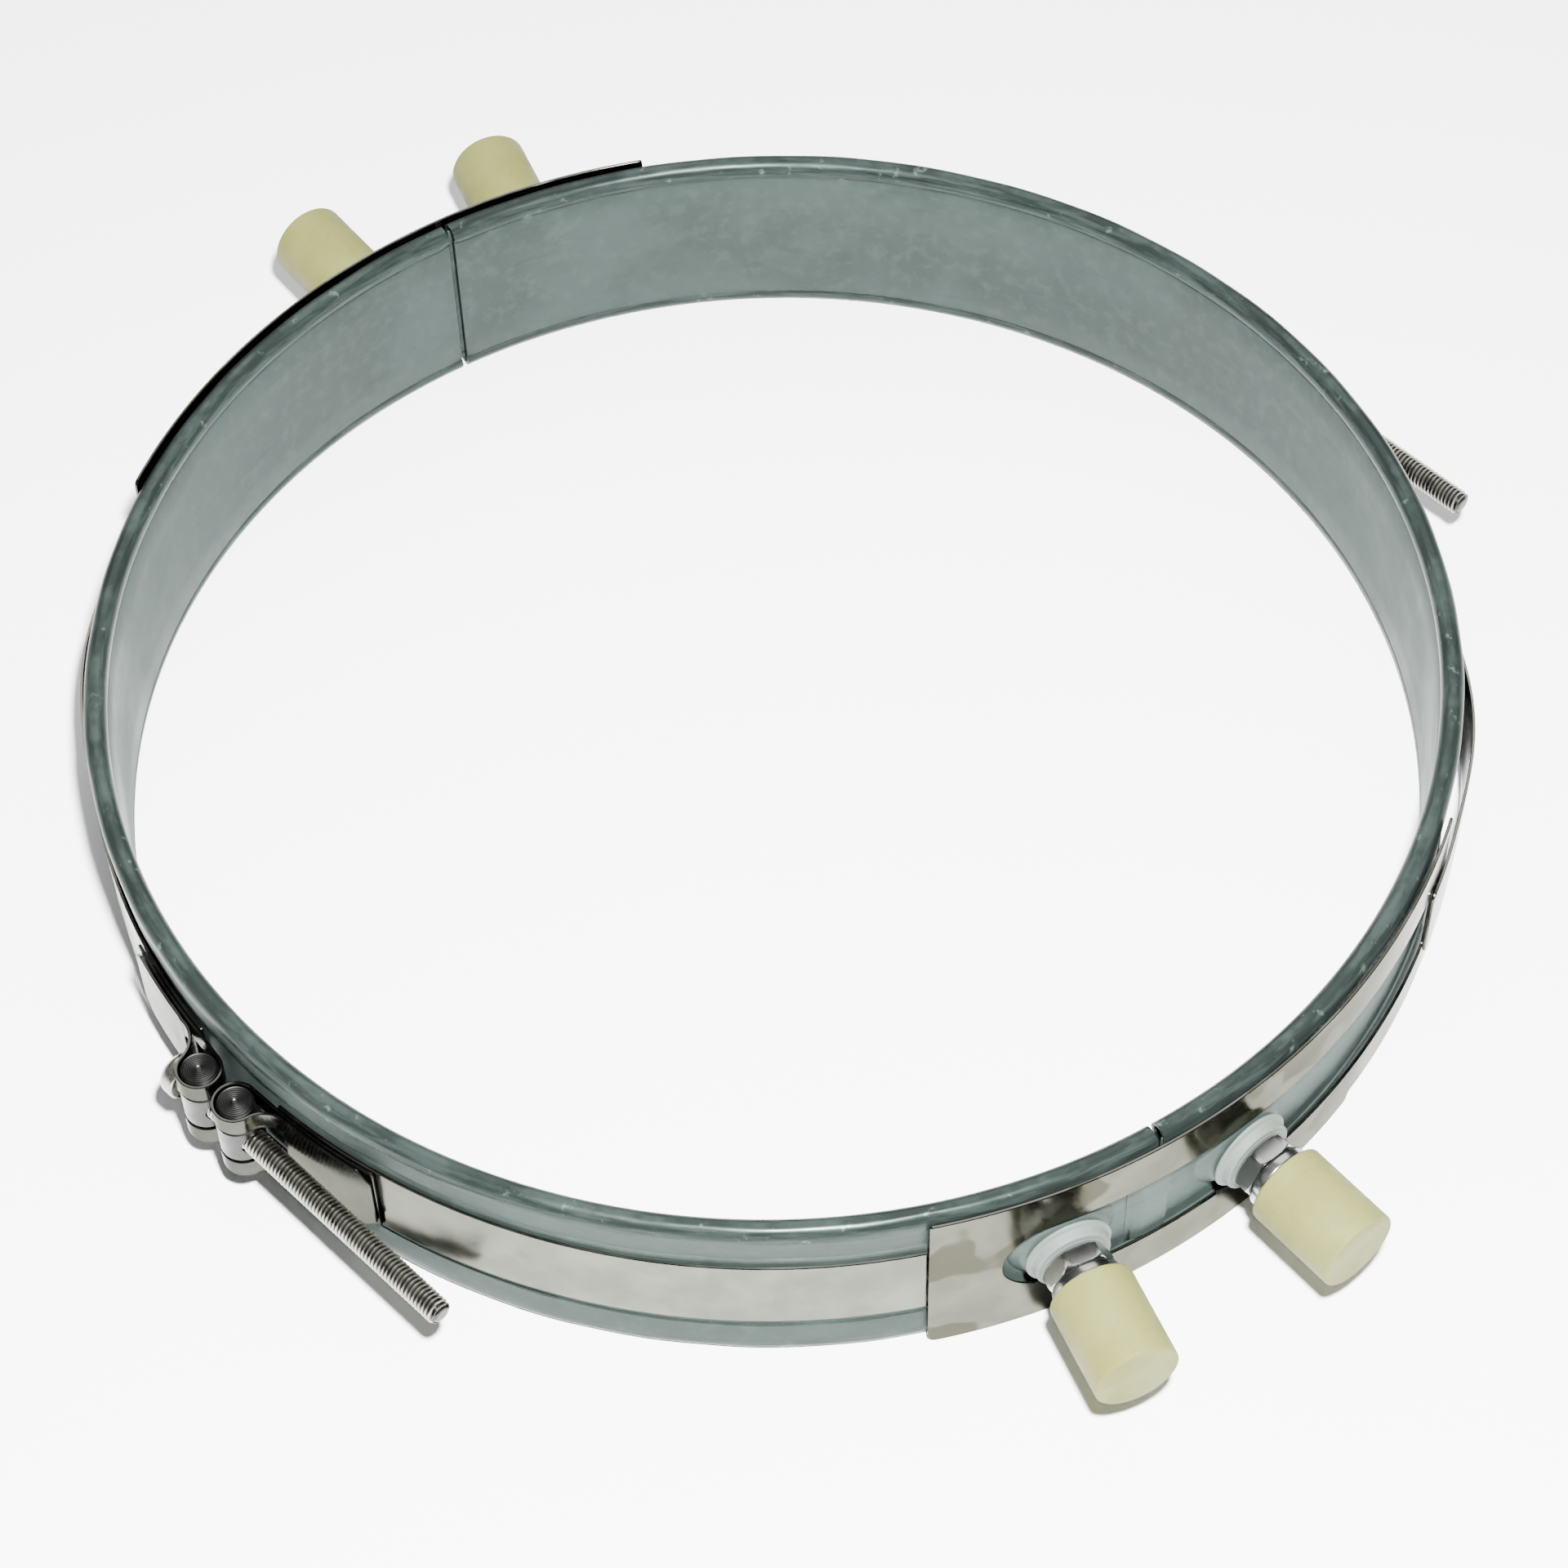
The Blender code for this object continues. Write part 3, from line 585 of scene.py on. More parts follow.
def bent_sheet(shape, path, loops, thickness, rows, edge=BROKEN_EDGE, drop=0.0):
    """Adds a sheet cut to its first loop, open inside the others, and bent along a path in plan.

    Loop points are (distance along the path, height). Every cut edge is broken.
    The sheet may sink on its way, by drop in all.
    """
    marks, aside = [0.0], []
    for first, second in zip(path, path[1:]):
        marks.append(marks[-1] + (second - first).length)
        along = (second - first).normalized()
        aside.append(Vector((-along.y, along.x)))
    normals = [aside[0], *[(a + b).normalized() for a, b in zip(aside, aside[1:])], aside[-1]]

    def bend(point, depth):
        index = 0
        while index < len(path) - 2 and marks[index + 1] < point.x:
            index += 1
        share = (point.x - marks[index]) / (marks[index + 1] - marks[index])
        flat = path[index].lerp(path[index + 1], share)
        flat += normals[index].lerp(normals[index + 1], share).normalized() * depth
        sunk = eased(0.0, drop, point.x / marks[-1] / 0.75)
        return Vector((flat.x, flat.y, point.y - sunk))

    loops = [split_at(loop, marks) for loop in loops]
    points, edges = [], []
    for number, loop in enumerate(loops):
        for ring in (loop, inset(loop, edge, number == 0)):
            start, count = len(points), len(ring)
            points.extend(ring)
            edges.extend((start + i, start + (i + 1) % count) for i in range(count))
    for mark, after in zip(marks, marks[1:]):
        for number, height in enumerate(rows):
            spot = (mark + (after - mark) * (0.5 * (number % 2) + 0.013 * (number % 5)), height)
            if not inside(spot, loops[0]) or any(inside(spot, hole) for hole in loops[1:]):
                continue
            if not any(near(spot, loop, edge + 0.2 * MM) for loop in loops):
                points.append(Vector(spot))
    scale = 1000.0
    flat, _, faces, _, _, _ = delaunay_2d_cdt([p * scale for p in points], edges, [], 0, 1e-5)
    flat = [point / scale for point in flat]
    kept = []
    for face in faces:
        a, b, c = (flat[i] for i in face)
        longest = max((b - a).length, (c - b).length, (a - c).length)
        if abs((b - a).cross(c - a)) < SLIVER * longest:
            continue
        middle = (a + b + c) / 3
        if inside(middle, loops[0]) and not any(inside(middle, hole) for hole in loops[1:]):
            kept.append(face)
    borders = {}
    for face in kept:
        for first, second in zip(face, face[1:] + face[:1]):
            key = (min(first, second), max(first, second))
            borders[key] = borders.get(key, 0) + 1
    borders = [key for key, count in borders.items() if count == 1]
    rim = {index for key in borders for index in key}
    fronts, backs = {}, {}
    for index in {index for face in kept for index in face}:
        depth = thickness / 2 - (edge if index in rim else 0.0)
        fronts[index] = shape.verts.new(bend(flat[index], depth))
        backs[index] = shape.verts.new(bend(flat[index], -depth))
    for face in kept:
        shape.faces.new([fronts[i] for i in face])
        shape.faces.new([backs[i] for i in reversed(face)])
    for first, second in borders:
        shape.faces.new((fronts[first], fronts[second], backs[second], backs[first]))


def take(shape, obj):
    """Moves an object's finished mesh into a shape and removes the object."""
    graph = bpy.context.evaluated_depsgraph_get()
    made = bpy.data.meshes.new_from_object(obj.evaluated_get(graph))
    made.transform(obj.matrix_world)
    shape.from_mesh(made)
    source = obj.data
    bpy.data.objects.remove(obj, do_unlink=True)
    bpy.data.meshes.remove(source)
    bpy.data.meshes.remove(made)


def cut(shape, tools):
    """Cuts closed tools out of a closed shape and gives the result."""
    objs = []
    for index, source in enumerate([shape, *tools]):
        bmesh.ops.remove_doubles(source, verts=source.verts, dist=WELD_DISTANCE)
        bmesh.ops.recalc_face_normals(source, faces=source.faces)
        mesh = bpy.data.meshes.new(f"cut_{index}")
        source.to_mesh(mesh)
        source.free()
        obj = bpy.data.objects.new(f"cut_{index}", mesh)
        bpy.context.scene.collection.objects.link(obj)
        objs.append(obj)
    for tool in objs[1:]:
        modifier = objs[0].modifiers.new("cut", "BOOLEAN")
        modifier.operation = "DIFFERENCE"
        modifier.solver = "EXACT"
        modifier.object = tool
    bpy.context.view_layer.update()
    result = bmesh.new()
    take(result, objs[0])
    for tool in objs[1:]:
        source = tool.data
        bpy.data.objects.remove(tool, do_unlink=True)
        bpy.data.meshes.remove(source)
    return result


def block(low, high, matrix=None):
    shape = bmesh.new()
    size = Vector(high) - Vector(low)
    centre = (Vector(high) + Vector(low)) / 2
    bmesh.ops.create_cube(shape, size=1.0, matrix=Matrix.LocRotScale(centre, None, size))
    if matrix is not None:
        bmesh.ops.transform(shape, matrix=matrix, verts=shape.verts)
    return shape


def thread(shape, radius, depth, pitch, top, bottom, matrix, steps=THREAD_STEPS):
    """Adds a right-handed external thread between two heights, fading out at both ends."""
    crest = ((0.0, 1.0), (0.34, 0.0), (0.52, 0.0), (0.86, 1.0))
    total = int(steps * (top - bottom) / pitch)
    rows = []
    for index in range(total + 1):
        turn = 360.0 * index / steps
        height = top - pitch * index / steps
        fade = min(1.0, index / (0.8 * steps), (total - index) / (1.2 * steps))
        row = []
        for offset, deep in crest:
            reach = radius - depth * max(deep, 1.0 - fade)
            flat = polar(reach, -turn)
            level = max(height - offset * pitch, bottom)
            row.append(shape.verts.new(matrix @ Vector((flat.x, flat.y, level))))
        rows.append(row)
    for index in range(total):
        first, second = rows[index], rows[index + 1]
        for spot in range(3):
            shape.faces.new((first[spot], first[spot + 1], second[spot + 1], second[spot]))
        if index + steps + 1 <= total:
            third, fourth = rows[index + steps], rows[index + steps + 1]
            shape.faces.new((first[3], third[0], fourth[0], second[3]))


# ---------------------------------------------------------------- half shells


def shell_angles(side):
    half_gap = math.degrees((SPLIT_GAP / 2 - VISIBLE_SPLIT_TRIM) / FLANGE_R)
    start = SPLIT_ANGLE - 180 if side == "right" else SPLIT_ANGLE
    return start + half_gap, start + 180 - half_gap


def liner_middle():
    """The middle of the liner's sheet, from one flange's free edge to the other's."""
    radius = FOLD_R - LINER_SHEET / 2
    fold_r = BORE_R + FOLD_R
    flange_r = fold_r + radius
    wall_r = fold_r - radius
    lean = 0.35 * MM
    crease = 2.6 * MM
    points = [Vector((flange_r - lean, RING_WIDTH - FLANGE_WIDTH))]
    points.append(Vector((flange_r - 0.55 * lean, RING_WIDTH - 0.72 * FLANGE_WIDTH)))
    points.append(Vector((flange_r - 0.10 * lean, RING_WIDTH - 0.45 * FLANGE_WIDTH)))
    points.extend(arc(radius, 0, 180, 14, (fold_r, RING_WIDTH - FOLD_R)))
    for height, sink in ((crease - 0.25 * MM, 0.0), (crease, 0.16 * MM), (crease + 0.25 * MM, 0.0)):
        points.append(Vector((wall_r + sink, RING_WIDTH - height)))
    points.extend(Vector((wall_r, RING_WIDTH * share)) for share in (0.75, 0.5, 0.25))
    for height, sink in ((crease + 0.25 * MM, 0.0), (crease, 0.16 * MM), (crease - 0.25 * MM, 0.0)):
        points.append(Vector((wall_r + sink, height)))
    points.extend(arc(radius, 180, 360, 14, (fold_r, FOLD_R)))
    points.append(Vector((flange_r - 0.10 * lean, 0.45 * FLANGE_WIDTH)))
    points.append(Vector((flange_r - 0.55 * lean, 0.72 * FLANGE_WIDTH)))
    points.append(Vector((flange_r - lean, FLANGE_WIDTH)))
    return points


def make_liner(side):
    start, end = shell_angles(side)
    curl = math.degrees(1.6 * MM / BORE_R)

    def reshape(radius, height, angle):
        """The sheet's ends are dressed away from the bore, and the flange is slightly wavy."""
        to_end = min(angle - start, end - angle)
        if radius < BORE_R + FOLD_R and FOLD_R < height < RING_WIDTH - FOLD_R:
            radius += 0.30 * MM * (1 - eased(0.0, 1.0, to_end / curl))
        if radius > FLANGE_R - 1.2 * MM:
            wave = math.sin(math.radians(angle) * 17) + math.sin(math.radians(angle) * 41 + 1.3)
            radius -= 0.035 * MM * (2 + wave)
        return radius, height

    shape = bmesh.new()
    swept_ring(shape, sheet_profile(liner_middle(), LINER_SHEET), start, end, 260, reshape)
    node = f"{side}_shell_liner"
    piece(f"{node}_fine", shape, galvanised, node, f"{side}_shell", 40.0)


def boss_profile():
    """The pressed boss over a stud, as a thin dome that sinks into the cover at its foot."""
    foot = COVER_OUT_R - 0.55 * MM
    outside = [
        (8.6 * MM, foot),
        (8.0 * MM, COVER_OUT_R - 0.10 * MM),
        (7.3 * MM, COVER_OUT_R + 0.45 * MM),
        (6.7 * MM, COVER_OUT_R + 1.20 * MM),
        (5.9 * MM, BOSS_TOP - 0.10 * MM),
        (4.8 * MM, BOSS_TOP),
        (STUD_HOLE_R, BOSS_TOP),
    ]
    wall = 0.4 * MM
    under = BOSS_TOP - wall
    inner = [(STUD_HOLE_R, under), (5.4 * MM, under - 0.1 * MM), (7.0 * MM, foot)]
    return rounded(outside, 0.8 * MM, 3) + [Vector(point) for point in inner]


def add_lap(shape, end):
    """Adds the joggled tongue that carries a cover over the split, on the other half's cover."""
    reach = math.degrees(LAP_REACH / COVER_OUT_R)
    low_r = COVER_OUT_R - LAP_SINK
    high_r = COVER_OUT_R + LAP_LIFT
    path = []
    for angle in spaced(end - 1.6 * reach, end + reach, 22):
        path.append(polar(eased(low_r, high_r, (angle - end + 1.6 * reach) / (1.3 * reach)), angle))
    low, high = FLANGE_WIDTH + 0.5 * MM, RING_WIDTH - FLANGE_WIDTH - 0.5 * MM
    length = path_length(path)
    corners = [(0.0, low), (length, low), (length, high), (0.0, high)]
    outline = corner_rounded(corners, (0.2 * MM, 1.0 * MM, 1.0 * MM, 0.2 * MM))
    bent_sheet(shape, path, [outline], COVER_SHEET, spaced(low, high, 4), BROKEN_COVER_EDGE)


def make_cover(side):
    start, end = shell_angles(side)
    middle = COVER_R + COVER_SHEET / 2
    path = arc(middle, start, end, 180)
    length = math.radians(end - start) * middle
    low, high = LAYER_MARGIN, RING_WIDTH - LAYER_MARGIN
    outline = [Vector(p) for p in ((0.0, low), (length, low), (length, high), (0.0, high))]
    loops = [outline]
    shape = bmesh.new()
    for place, angle, owner in TERMINALS:
        if owner != side:
            continue
        along = math.radians(angle - start) * middle
        if not 0 < along < length:
            along = math.radians(angle + 360 - start) * middle
        loops.append([Vector((along, MID_Z)) + p for p in arc(6.6 * MM, 0, 345, 23)])
        lathe(shape, boss_profile(), 64, radial(angle))
    rows = spaced(low, high, 6)
    bent_sheet(shape, path, loops, COVER_SHEET, rows, BROKEN_COVER_EDGE)
    add_lap(shape, end)
    node = f"{side}_shell_cover"
    piece(f"{node}_fine", shape, cover_zinc, node, f"{side}_shell", 40.0)


# ---------------------------------------------------------------- terminals


def hexagon(shape, flats, low, high, bore, matrix, steps=96):
    """Adds a hexagon nut with turned corners and a countersunk bore."""
    corner = flats / 2 / math.cos(math.radians(30))
    inner = flats / 2 - 0.12 * MM
    rise = corner + 0.2 * MM - flats / 2
    levels = [(low + 0.3 * MM, bore), (low, bore + 0.3 * MM)]
    for share in spaced(0.0, 1.0, 5):
        levels.append((low + NUT_CHAMFER * share, inner + rise * share**0.7))
    for share in spaced(1.0, 0.0, 5):
        levels.append((high - NUT_CHAMFER * share, inner + rise * share**0.7))
    levels += [(high, bore + 0.3 * MM), (high - 0.3 * MM, bore)]
    rings = []
    for height, limit in levels:
        ring = []
        for step in range(steps):
            turn = 360.0 * step / steps
            face = flats / 2 / math.cos(math.radians((turn + 30) % 60 - 30))
            flat = polar(min(face, limit), turn)
            ring.append(shape.verts.new(matrix @ Vector((flat.x, flat.y, height))))
        rings.append(ring)
    for first, second in zip(rings, rings[1:] + rings[:1]):
        for step in range(steps):
            after = (step + 1) % steps
            shape.faces.new((first[step], first[after], second[after], second[step]))


def make_terminal(place, angle, side):
    out = radial(angle)
    body = f"{side}_shell"
    washer_low = BOSS_TOP + STACK_GAP
    washer_high = washer_low + WASHER_HEIGHT
    nut_low = washer_high + STACK_GAP
    nut_high = nut_low + NUT_HEIGHT
    collar_low = nut_high + STACK_GAP
    collar_high = collar_low + COLLAR_HEIGHT
    cap_low = collar_high + STACK_GAP
    insert_low = cap_low + 0.4 * MM

    stud = bmesh.new()
    head_low, head_high = COVER_R + 0.12 * MM, COVER_R + 1.2 * MM
    root = STUD_R - 0.45 * MM
    profile = rounded(
        [
            (0.0, STUD_TIP), (root - 0.1 * MM, STUD_TIP), (root, STUD_TIP - 0.6 * MM),
            (root, head_high), (4.9 * MM, head_high), (4.9 * MM, head_low), (0.0, head_low),
        ],
        0.15 * MM, 3,
    )
    lathe(stud, profile, 40, out, closed=False)
    thread_top = STUD_TIP - 0.35 * MM
    thread(stud, STUD_R, STUD_THREAD_DEPTH, STUD_PITCH, thread_top, head_high + 1.0 * MM, out)
    piece(f"{place}_stud_fine", stud, plated, f"{place}_stud", body)

    washer = bmesh.new()
    profile = rounded(
        [
            (STUD_HOLE_R, washer_low), (WASHER_R, washer_low), (WASHER_R, washer_low + 0.45 * MM),
            (5.95 * MM, washer_low + 0.75 * MM), (5.75 * MM, washer_high - 0.10 * MM),
            (4.9 * MM, washer_high - 0.08 * MM), (4.8 * MM, washer_high),
            (STUD_HOLE_R, washer_high),
        ],
        0.35 * MM, 5,
    )
    lathe(washer, profile, 72, out)
    node = f"{place}_pale_washer"
    piece(f"{node}_fine", washer, insulation, node, body)

    nut = bmesh.new()
    hexagon(nut, NUT_FLATS, nut_low, nut_high, STUD_HOLE_R, out)
    piece(f"{place}_nut_fine", nut, plated, f"{place}_nut", body, 24.0)

    collar = bmesh.new()
    profile = ring_profile(STUD_HOLE_R, COLLAR_R, collar_low, collar_high, 0.35 * MM, 6)
    lathe(collar, profile, 64, out)
    piece(f"{place}_collar_fine", collar, plated, f"{place}_collar", body)

    insert = bmesh.new()
    insert_high = insert_low + INSERT_LENGTH
    profile = [(STUD_HOLE_R, insert_low + 0.3 * MM), (STUD_HOLE_R + 0.3 * MM, insert_low)]
    profile += [(INSERT_R - 0.25 * MM, insert_low), (INSERT_R, insert_low + 0.25 * MM)]
    for share in spaced(0.1, 0.9, 8):
        height = insert_low + INSERT_LENGTH * share
        profile += [(INSERT_R, height - 0.2 * MM), (INSERT_R - 0.15 * MM, height)]
    profile += [(INSERT_R, insert_high - 0.25 * MM)]
    profile += [(INSERT_R - 0.25 * MM, insert_high), (STUD_HOLE_R, insert_high)]
    lathe(insert, profile, 48, out)
    node = f"{place}_cap_insert"
    piece(f"{node}_fine", insert, plated, node, f"{place}_insert")

    cap = bmesh.new()
    high = cap_low + CAP_LENGTH
    socket = INSERT_R + 0.2 * MM
    depth = cap_low + INSERT_LENGTH + 1.0 * MM
    corners = [(0.0, high), (CAP_R, high), (CAP_R, cap_low)]
    corners += [(socket, cap_low), (socket, depth), (0.0, depth)]
    lathe(cap, rounded(corners, 0.5 * MM, 6), 96, out, closed=False)
    piece(f"{place}_cap_fine", cap, ceramic, f"{place}_cap", f"{place}_cap")


# ---------------------------------------------------------------- strap and plates


def strap_heights(middle):
    return middle - STRAP_WIDTH / 2, middle + STRAP_WIDTH / 2


def path_length(path):
    return sum((second - first).length for first, second in zip(path, path[1:]))


def make_strap_pieces(end, half_turn):
    """One piece runs under its plate's end, and the other runs over it and stands off the band."""
    middle = STRAP_R + SHEET / 2
    sides = ("left", "right") if end == "front" else ("right", "left")
    barrels = [centre_of(f"{end}_{side}_barrel") for side in sides]
    under_angle, over_angle = (
        angle_at_y(middle, abs(barrel.y) + STRAP_END_FROM_BARREL) for barrel in barrels
    )
    under_path = arc(middle, PLATE_ANGLES[0] + STRAP_OVERLAP_ANGLE, under_angle - 180, 90)
    over_middle = OUTSIDE_STRAP_R + SHEET / 2
    leaves, crest, lands = STRAP_BULGE_ANGLES
    over_path = []
    for angle in spaced(PLATE_ANGLES[1] - STRAP_OVERLAP_ANGLE - 1.0, -over_angle, 100):
        if angle < crest:
            radius = eased(over_middle, STRAP_BULGE_R, (angle - leaves) / (crest - leaves))
        else:
            radius = eased(STRAP_BULGE_R, middle, (angle - crest) / (lands - crest))
        over_path.append(polar(radius, angle))
    turn = Matrix.Rotation(math.radians(half_turn), 2)
    low, high = strap_heights(MID_Z)
    for side, barrel, path in zip(sides, barrels, (under_path, over_path)):
        turned = [turn @ point for point in path]
        length = path_length(turned)
        corners = [(0.0, low), (length, low), (length, high), (0.0, high)]
        outline = corner_rounded(corners, (1.5 * MM, 0.4 * MM, 0.4 * MM, 1.5 * MM))
        shape = bmesh.new()
        bent_sheet(shape, turned, [outline], SHEET, spaced(low, high, 6), drop=MID_Z - barrel.z)
        node = f"{end}_{side}_strap"
        piece(f"{node}_fine", shape, stainless, node, f"{end}_strap", 40.0)


def make_plate(end, half_turn):
    middle = PLATE_R + SHEET / 2
    turn = Matrix.Rotation(math.radians(half_turn), 2)
    path = [turn @ point for point in arc(middle, *PLATE_ANGLES, 120)]

    def along(angle):
        return math.radians(angle - PLATE_ANGLES[0]) * middle

    low, high = PLATE_MARGIN, RING_WIDTH - PLATE_MARGIN
    step = low + NOTCH_HEIGHT
    length = along(PLATE_ANGLES[1])
    notch = along(NOTCH_ANGLE)
    corners = [(0.0, low), (notch, low), (notch + 0.9 * MM, step)]
    corners += [(length, step), (length, high), (0.0, high)]
    outline = corner_rounded(corners, (1.9 * MM, 0.5 * MM, 0.5 * MM, 1.2 * MM, 1.2 * MM, 0.5 * MM))
    half = WINDOW_HEIGHT / 2
    first, last = along(WINDOW_ANGLES[0]), along(WINDOW_ANGLES[1])
    window = [Vector((first, MID_Z)) + point for point in arc(half, 90, 270, 26)]
    ends = corner_rounded(
        [(first, MID_Z - half), (last, MID_Z - half), (last, MID_Z + half), (first, MID_Z + half)],
        (0.0, 1.0 * MM, 1.0 * MM, 0.0),
    )
    window += ends[1:-1]
    shape = bmesh.new()
    rows = [low + 1.5 * MM, step + 1.0 * MM, MID_Z - half - 1.6 * MM]
    rows += spaced(MID_Z - half, MID_Z + half, 5)
    rows += [MID_Z + half + 2.0 * MM, MID_Z + half + 4.5 * MM, high - 1.2 * MM]
    bent_sheet(shape, path, [outline, window], SHEET, rows)
    node = f"{end}_terminal_plate"
    piece(f"{node}_fine", shape, plate_steel, node, f"{end}_strap", 40.0)


# ---------------------------------------------------------------- clamps


def loop_path(barrel_y, away, side):
    """The folded tab: along the strap, round the barrel and back over itself, in plan."""
    inner_r = STRAP_OUT_R + TAB_GAP + SHEET / 2
    outer_r = inner_r + SHEET + TAB_GAP
    end_y = barrel_y + away * TAB_LENGTH
    near_y = barrel_y + away * 6.0 * MM
    inner_leg = arc(inner_r, angle_at_y(inner_r, end_y), angle_at_y(inner_r, near_y), 14)
    centre = Vector((abs(centre_of(f"rear_{side}_barrel").x), barrel_y))
    turn_end = math.radians(LOOP_END_ANGLE)
    wrap = []
    for angle in spaced(-95.0, LOOP_END_ANGLE - 360.0, 44):
        flat = polar(LOOP_R, angle)
        wrap.append(centre + Vector((flat.y, away * flat.x)))
    leg_x = math.sqrt(outer_r**2 - (barrel_y + away * 7.5 * MM) ** 2)
    drop = leg_x - centre.x
    back_r = (LOOP_R * math.sin(turn_end) - drop) / (1 - math.sin(turn_end))
    back_centre = (LOOP_R + back_r) * Vector((math.sin(turn_end), math.cos(turn_end)))
    back = []
    for angle in spaced(180.0 + LOOP_END_ANGLE, 270.0, 14)[1:]:
        flat = polar(back_r, angle)
        back.append(centre + Vector((back_centre.x + flat.y, away * (back_centre.y + flat.x))))
    leg_start = angle_at_y(outer_r, back[-1].y)
    outer_leg = arc(outer_r, leg_start, angle_at_y(outer_r, end_y), 14)[1:]
    mirror = 1 if side == "right" else -1
    return [Vector((mirror * x, y)) for x, y in (*inner_leg, *wrap, *back, *outer_leg)]


def make_loop(end, side):
    away = -1 if end == "front" else 1
    mirror = 1 if side == "right" else -1
    middle = centre_of(f"{end}_{side}_barrel")
    path = loop_path(middle.y, away, side)
    length = path_length(path)
    low, high = strap_heights(middle.z)
    clip = 2.2 * MM
    corners = [(0.0, low), (length - clip, low), (length, low + clip), (length, high - clip)]
    corners += [(length - clip, high), (0.0, high)]
    outline = corner_rounded(corners, (0.8 * MM, 0.4 * MM, 0.4 * MM, 0.4 * MM, 0.4 * MM, 0.8 * MM))
    depth = 2.8 * MM if end == "front" else 3.75 * MM
    reach = 12.0 * MM if end == "front" else 13.0 * MM
    travelled, marks = 0.0, []
    for first, second in zip(path, path[1:]):
        spot = (first + second) / 2
        outward = mirror * spot.x - abs(middle.x)
        from_barrel = away * (spot.y - middle.y)
        eye = outward > -SLOT_HALF_EYE - 0.2 * MM and abs(from_barrel) < SLOT_HALF_EYE
        passage = outward > -depth and -SLOT_HALF_EYE < from_barrel < reach
        if eye or passage:
            marks.append((travelled, travelled + (second - first).length))
        travelled += (second - first).length
    open_from, open_to = marks[0][0], marks[-1][1]
    floor, roof = middle.z - SLOT_HEIGHT / 2, middle.z + SLOT_HEIGHT / 2
    hole = [(open_from, floor), (open_to, floor), (open_to, roof), (open_from, roof)]
    hole = corner_rounded(hole, (0.4 * MM, 1.6 * MM, 1.6 * MM, 0.4 * MM))
    shape = bmesh.new()
    rows = [low + 1.6 * MM, *spaced(floor, roof, 4), high - 1.6 * MM]
    bent_sheet(shape, path, [outline, hole], SHEET, rows)
    node = f"{end}_{side}_loop"
    piece(f"{node}_fine", shape, shaded_loop_steel, node, f"{end}_strap", 40.0)


def make_barrel(end, side):
    """A turned barrel with a ringed face, cross-drilled for the screw."""
    node = f"{end}_{side}_barrel"
    low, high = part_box(node)
    half = (high.z - low.z) / 2
    body_half = BARREL_BODY_LENGTH / 2
    place = Matrix.Translation(centre_of(node))
    face = [(0.0, half - 0.10 * MM), (0.35 * MM, half - 0.10 * MM)]
    for index in range(6):
        radius = (0.5 + 0.34 * index) * MM
        face += [(radius, half - 0.02 * MM), (radius + 0.17 * MM, half - 0.07 * MM)]
    upper = [
        *face,
        (BARREL_R - 0.25 * MM, half),
        (BARREL_R, half - 0.25 * MM),
        (BARREL_R, body_half + 0.05 * MM),
        (BARREL_BODY_R - 0.35 * MM, body_half),
        (BARREL_BODY_R, body_half - 0.35 * MM),
    ]
    profile = upper + [(radius, -height) for radius, height in reversed(upper)]
    shape = bmesh.new()
    lathe(shape, profile, 64, place, closed=False)
    tool = bmesh.new()
    along_y = place @ Matrix.Rotation(math.radians(-90), 4, "X")
    sink = [(0.0, -5 * MM), (BARREL_HOLE_R, -5 * MM), (BARREL_HOLE_R, 5 * MM), (0.0, 5 * MM)]
    lathe(tool, sink, 40, along_y, closed=False)
    shape = cut(shape, [tool])
    piece(f"{node}_fine", shape, barrel_steel, node, node, 22.0)


def make_screw(side):
    """A threaded screw with a domed, slotted head."""
    node = f"{side}_clamp_screw"
    low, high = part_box(node)
    centre = centre_of(node)
    seat = Vector((centre.x, high.y - SCREW_HEAD_HEIGHT, centre.z))
    along_y = Matrix.Translation(seat) @ Matrix.Rotation(math.radians(-90), 4, "X")
    top = SCREW_HEAD_HEIGHT
    tip = low.y - seat.y
    root = SCREW_R - 0.36 * MM
    head = rounded(
        [
            (0.0, top), (1.6 * MM, top - 0.06 * MM), (2.75 * MM, top - 0.55 * MM),
            (SCREW_HEAD_R, top - 1.35 * MM), (SCREW_HEAD_R, 0.0), (SCREW_R, 0.0),
            (SCREW_R, -0.8 * MM), (root, -1.1 * MM), (root, tip + 0.5 * MM),
            (root - 0.45 * MM, tip), (0.0, tip),
        ],
        0.5 * MM, 5,
    )
    shape = bmesh.new()
    lathe(shape, head, 64, along_y, closed=False)
    slot = block((-5 * MM, -0.5 * MM, top - 1.2 * MM), (5 * MM, 0.5 * MM, top + 1 * MM), along_y)
    shape = cut(shape, [slot])
    thread(shape, SCREW_R, SCREW_THREAD_DEPTH, SCREW_PITCH, -0.9 * MM, tip + 0.3 * MM, along_y)
    piece(f"{node}_fine", shape, screw_steel[side], node, f"{side}_screw", 26.0)


for shell_side in ("right", "left"):
    make_liner(shell_side)
    make_cover(shell_side)
for terminal in TERMINALS:
    make_terminal(*terminal)
for strap_end, strap_turn in (("front", 0.0), ("rear", 180.0)):
    make_plate(strap_end, strap_turn)
    make_strap_pieces(strap_end, strap_turn)
    for clamp_side in ("left", "right"):
        make_loop(strap_end, clamp_side)
        make_barrel(strap_end, clamp_side)
for clamp_side in ("left", "right"):
    make_screw(clamp_side)

kept_layers = (("inner_mica", mica), ("outer_mica", mica), ("winding", winding))
for kept_side in ("left", "right"):
    for kept_node, kept_material in kept_layers:
        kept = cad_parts[f"{kept_side}_{kept_node}"]
        for slot_index in range(len(kept.material_slots)):
            kept.material_slots[slot_index].material = kept_material


# ---------------------------------------------------------------- stage


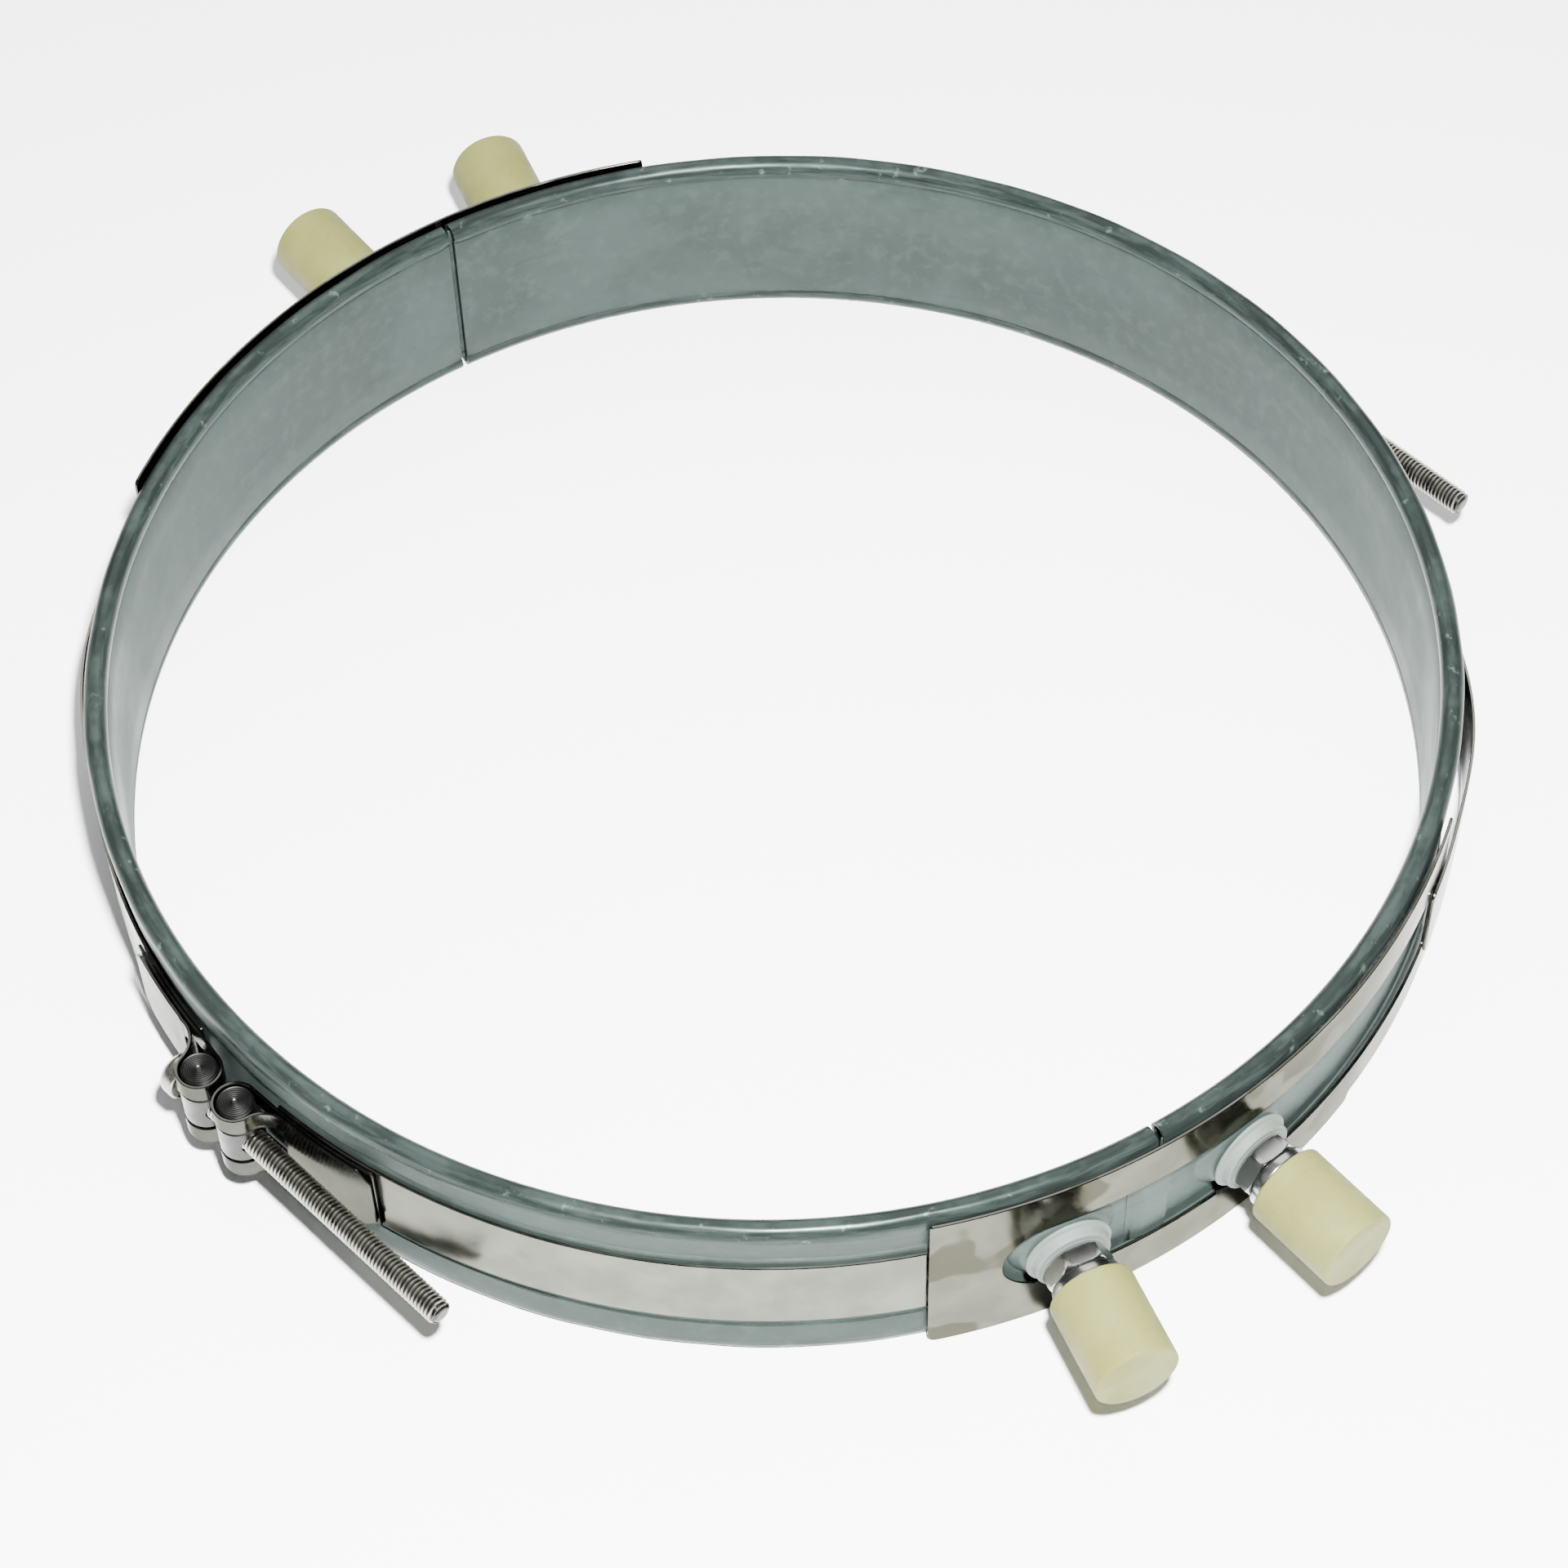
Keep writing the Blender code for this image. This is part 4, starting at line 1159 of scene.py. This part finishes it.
def make_floor():
    shape = bmesh.new()
    bmesh.ops.create_grid(shape, x_segments=8, y_segments=8, size=4.0)
    mesh = bpy.data.meshes.new("floor")
    shape.to_mesh(mesh)
    shape.free()
    floor = bpy.data.objects.new("floor", mesh)
    bpy.context.scene.collection.objects.link(floor)
    n = Nodes("floor_paper")
    grain = n.noise(n.place(), 300.0, 2.0)
    n.finish((0.92, 0.92, 0.92, 1.0), 0.8, n.bump(grain, 0.02, 0.0002), 0.0)
    mesh.materials.append(n.material)


def aim(obj, eye, target):
    turn = (target - eye).to_track_quat("-Z", "Y").to_matrix().to_4x4()
    obj.matrix_world = Matrix.Translation(eye) @ turn


def add_light(name, eye, target, size, power):
    light = bpy.data.lights.new(name, "AREA")
    light.shape = "DISK"
    light.size = size
    light.energy = power
    obj = bpy.data.objects.new(name, light)
    bpy.context.scene.collection.objects.link(obj)
    aim(obj, Vector(eye), Vector(target))


def add_camera():
    """Stands off the front left corner and looks down across the ring, tilted slightly."""
    stand, tall = CAMERA_STAND * CAMERA_UNIT, CAMERA_TALL * CAMERA_UNIT
    azimuth, facing, pitch, roll = (math.radians(angle) for angle in CAMERA_ANGLES)
    eye = Vector((stand * math.cos(azimuth), stand * math.sin(azimuth), tall))
    level_reach = math.cos(pitch)
    forward = Vector(
        (math.cos(facing) * level_reach, math.sin(facing) * level_reach, -math.sin(pitch))
    )
    level = forward.cross(Vector((0.0, 0.0, 1.0))).normalized()
    upright = level.cross(forward)
    right = level * math.cos(roll) + upright * math.sin(roll)
    up = upright * math.cos(roll) - level * math.sin(roll)
    camera = bpy.data.cameras.new("camera")
    camera.lens = CAMERA_LENS
    camera.sensor_width = 36.0
    camera.shift_y = CAMERA_SHIFT
    camera.clip_start = 0.01
    camera.clip_end = 20.0
    obj = bpy.data.objects.new("camera", camera)
    bpy.context.scene.collection.objects.link(obj)
    turn = Matrix((right, up, -forward)).transposed().to_4x4()
    obj.matrix_world = Matrix.Translation(eye) @ turn
    bpy.context.scene.camera = obj
    return eye, right, up


def add_world(color, strength):
    world = bpy.data.worlds.new("studio")
    world.use_nodes = True
    world.node_tree.nodes["Background"].inputs["Color"].default_value = color
    world.node_tree.nodes["Background"].inputs["Strength"].default_value = strength
    bpy.context.scene.world = world


make_floor()
camera_eye, camera_right, camera_up = add_camera()
add_world((0.93, 0.97, 1.0, 1.0), 0.14)
flash = camera_eye + camera_right * 0.035 + camera_up * 0.085
add_light("key", flash, RING_MIDDLE, 0.035, 40.0)
add_light("overhead", (0.60, 0.68, 1.1), (0.0, 0.0, 0.0), 1.4, 20.0)
add_light("fill", (-1.0, 0.1, 0.7), RING_MIDDLE, 0.8, 1.0)
